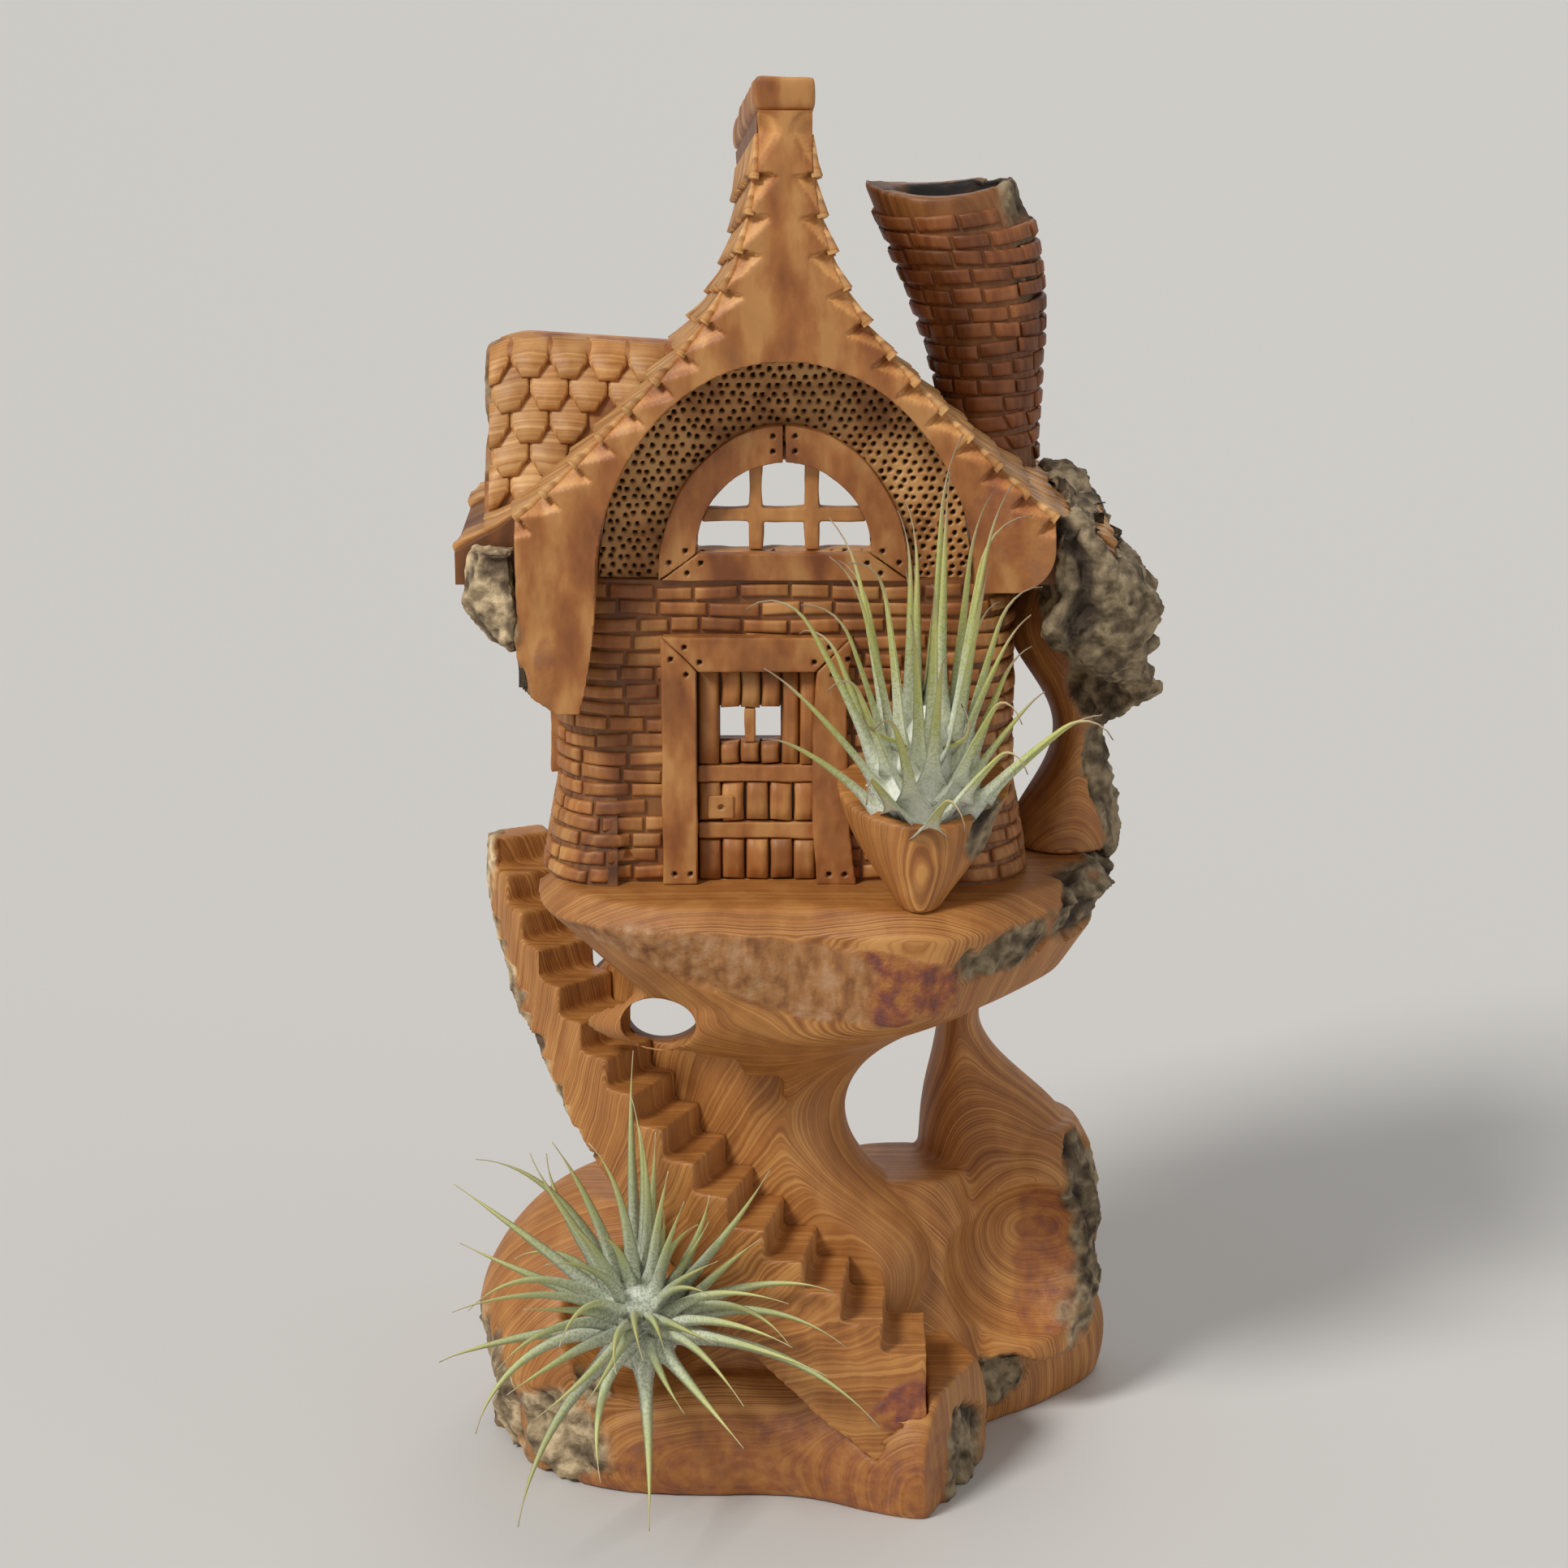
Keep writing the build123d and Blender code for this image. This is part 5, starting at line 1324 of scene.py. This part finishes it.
upper_skin = plant_material("upper_leaf", [
    (0.0, colour("e0e3d4")), (0.2, colour("cdd4aa")), (0.42, colour("bdc56a")), (0.7, colour("cccb70")),
    (0.86, colour("c6b184")), (1.0, colour("94765f")),
], 0.95)
lower_skin = plant_material("lower_leaf", [
    (0.0, colour("b4bba4")), (0.3, colour("adb68e")), (0.6, colour("b5bb78")), (0.85, colour("c8c377")),
    (1.0, colour("c9b78c")),
], 0.75)
upper_plant = grow("upper_plant", "upper_plant_lift", UPPER_HEART, UPPER_HABIT, seed=211)
finish_piece(upper_plant, upper_skin, ("upper_air_plant",), "upper_plant")
lower_plant = grow("lower_plant", "lower_plant_lift", LOWER_HEART, LOWER_HABIT, seed=223)
finish_piece(lower_plant, lower_skin, ("lower_air_plant",), "lower_plant")

# Camera: a long lens a metre away, which looks down on the middle of the object by sixteen degrees. Its
# frame and focal length are in pixels.
VIEW_TARGET = Vector((-4.8, 0, 172)) * MM
VIEW_DROP = math.radians(16)
VIEW_DISTANCE = 1.0
FRAME_PIXELS = 1932
FOCAL_PIXELS = 5005

camera_data = bpy.data.cameras.new("camera")
camera_data.sensor_width = 36.0
camera_data.lens = FOCAL_PIXELS / FRAME_PIXELS * camera_data.sensor_width
camera = bpy.data.objects.new("camera", camera_data)
bpy.context.scene.collection.objects.link(camera)
sight = Vector((0, math.cos(VIEW_DROP), -math.sin(VIEW_DROP)))
camera.location = VIEW_TARGET - sight * VIEW_DISTANCE
camera.rotation_euler = (math.pi / 2 - VIEW_DROP, 0, 0)
bpy.context.scene.camera = camera

# Floor and light: a pale matt floor, a soft main light from the upper left, a weaker one from the
# right, one from behind, and an even sky.
FLOOR_COLOUR = colour("cfccc7")
FLOOR_ROUGHNESS = 0.8
FLOOR_HALF = 9
SKY_STRENGTH = 0.38
LIGHTS = (
    ("main_light", (-0.8, -0.85, 1.1), 2.2, 15),
    ("side_light", (1.2, -0.7, 0.6), 0.2, 50),
    ("back_light", (0.3, 1.2, 0.9), 0.45, 40),
)

floor_corners = [(x * FLOOR_HALF, y * FLOOR_HALF, 0) for x, y in ((-1, -1), (1, -1), (1, 1), (-1, 1))]
floor = new_piece("floor", floor_corners, [(0, 1, 2, 3)])
floor_material, _, floor_shader = new_material("floor")
floor_shader["Base Color"].default_value = (*FLOOR_COLOUR, 1.0)
floor_shader["Roughness"].default_value = FLOOR_ROUGHNESS
floor.data.materials.append(floor_material)
floor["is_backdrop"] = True
world = bpy.data.worlds.new("sky")
world.use_nodes = True
sky = world.node_tree.nodes["Background"].inputs
sky["Color"].default_value = (1.0, 1.0, 1.0, 1.0)
sky["Strength"].default_value = SKY_STRENGTH
bpy.context.scene.world = world
for light_name, place, strength, spread in LIGHTS:
    light_data = bpy.data.lights.new(light_name, "SUN")
    light_data.energy = strength
    light_data.angle = math.radians(spread)
    light = bpy.data.objects.new(light_name, light_data)
    light.rotation_euler = (-Vector(place)).to_track_quat("-Z", "Y").to_euler()
    bpy.context.scene.collection.objects.link(light)
bpy.context.scene.view_settings.view_transform = "Standard"

low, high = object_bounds()
{"cad": [list(cad_low), list(cad_high)], "visual": [list(low), list(high)]}
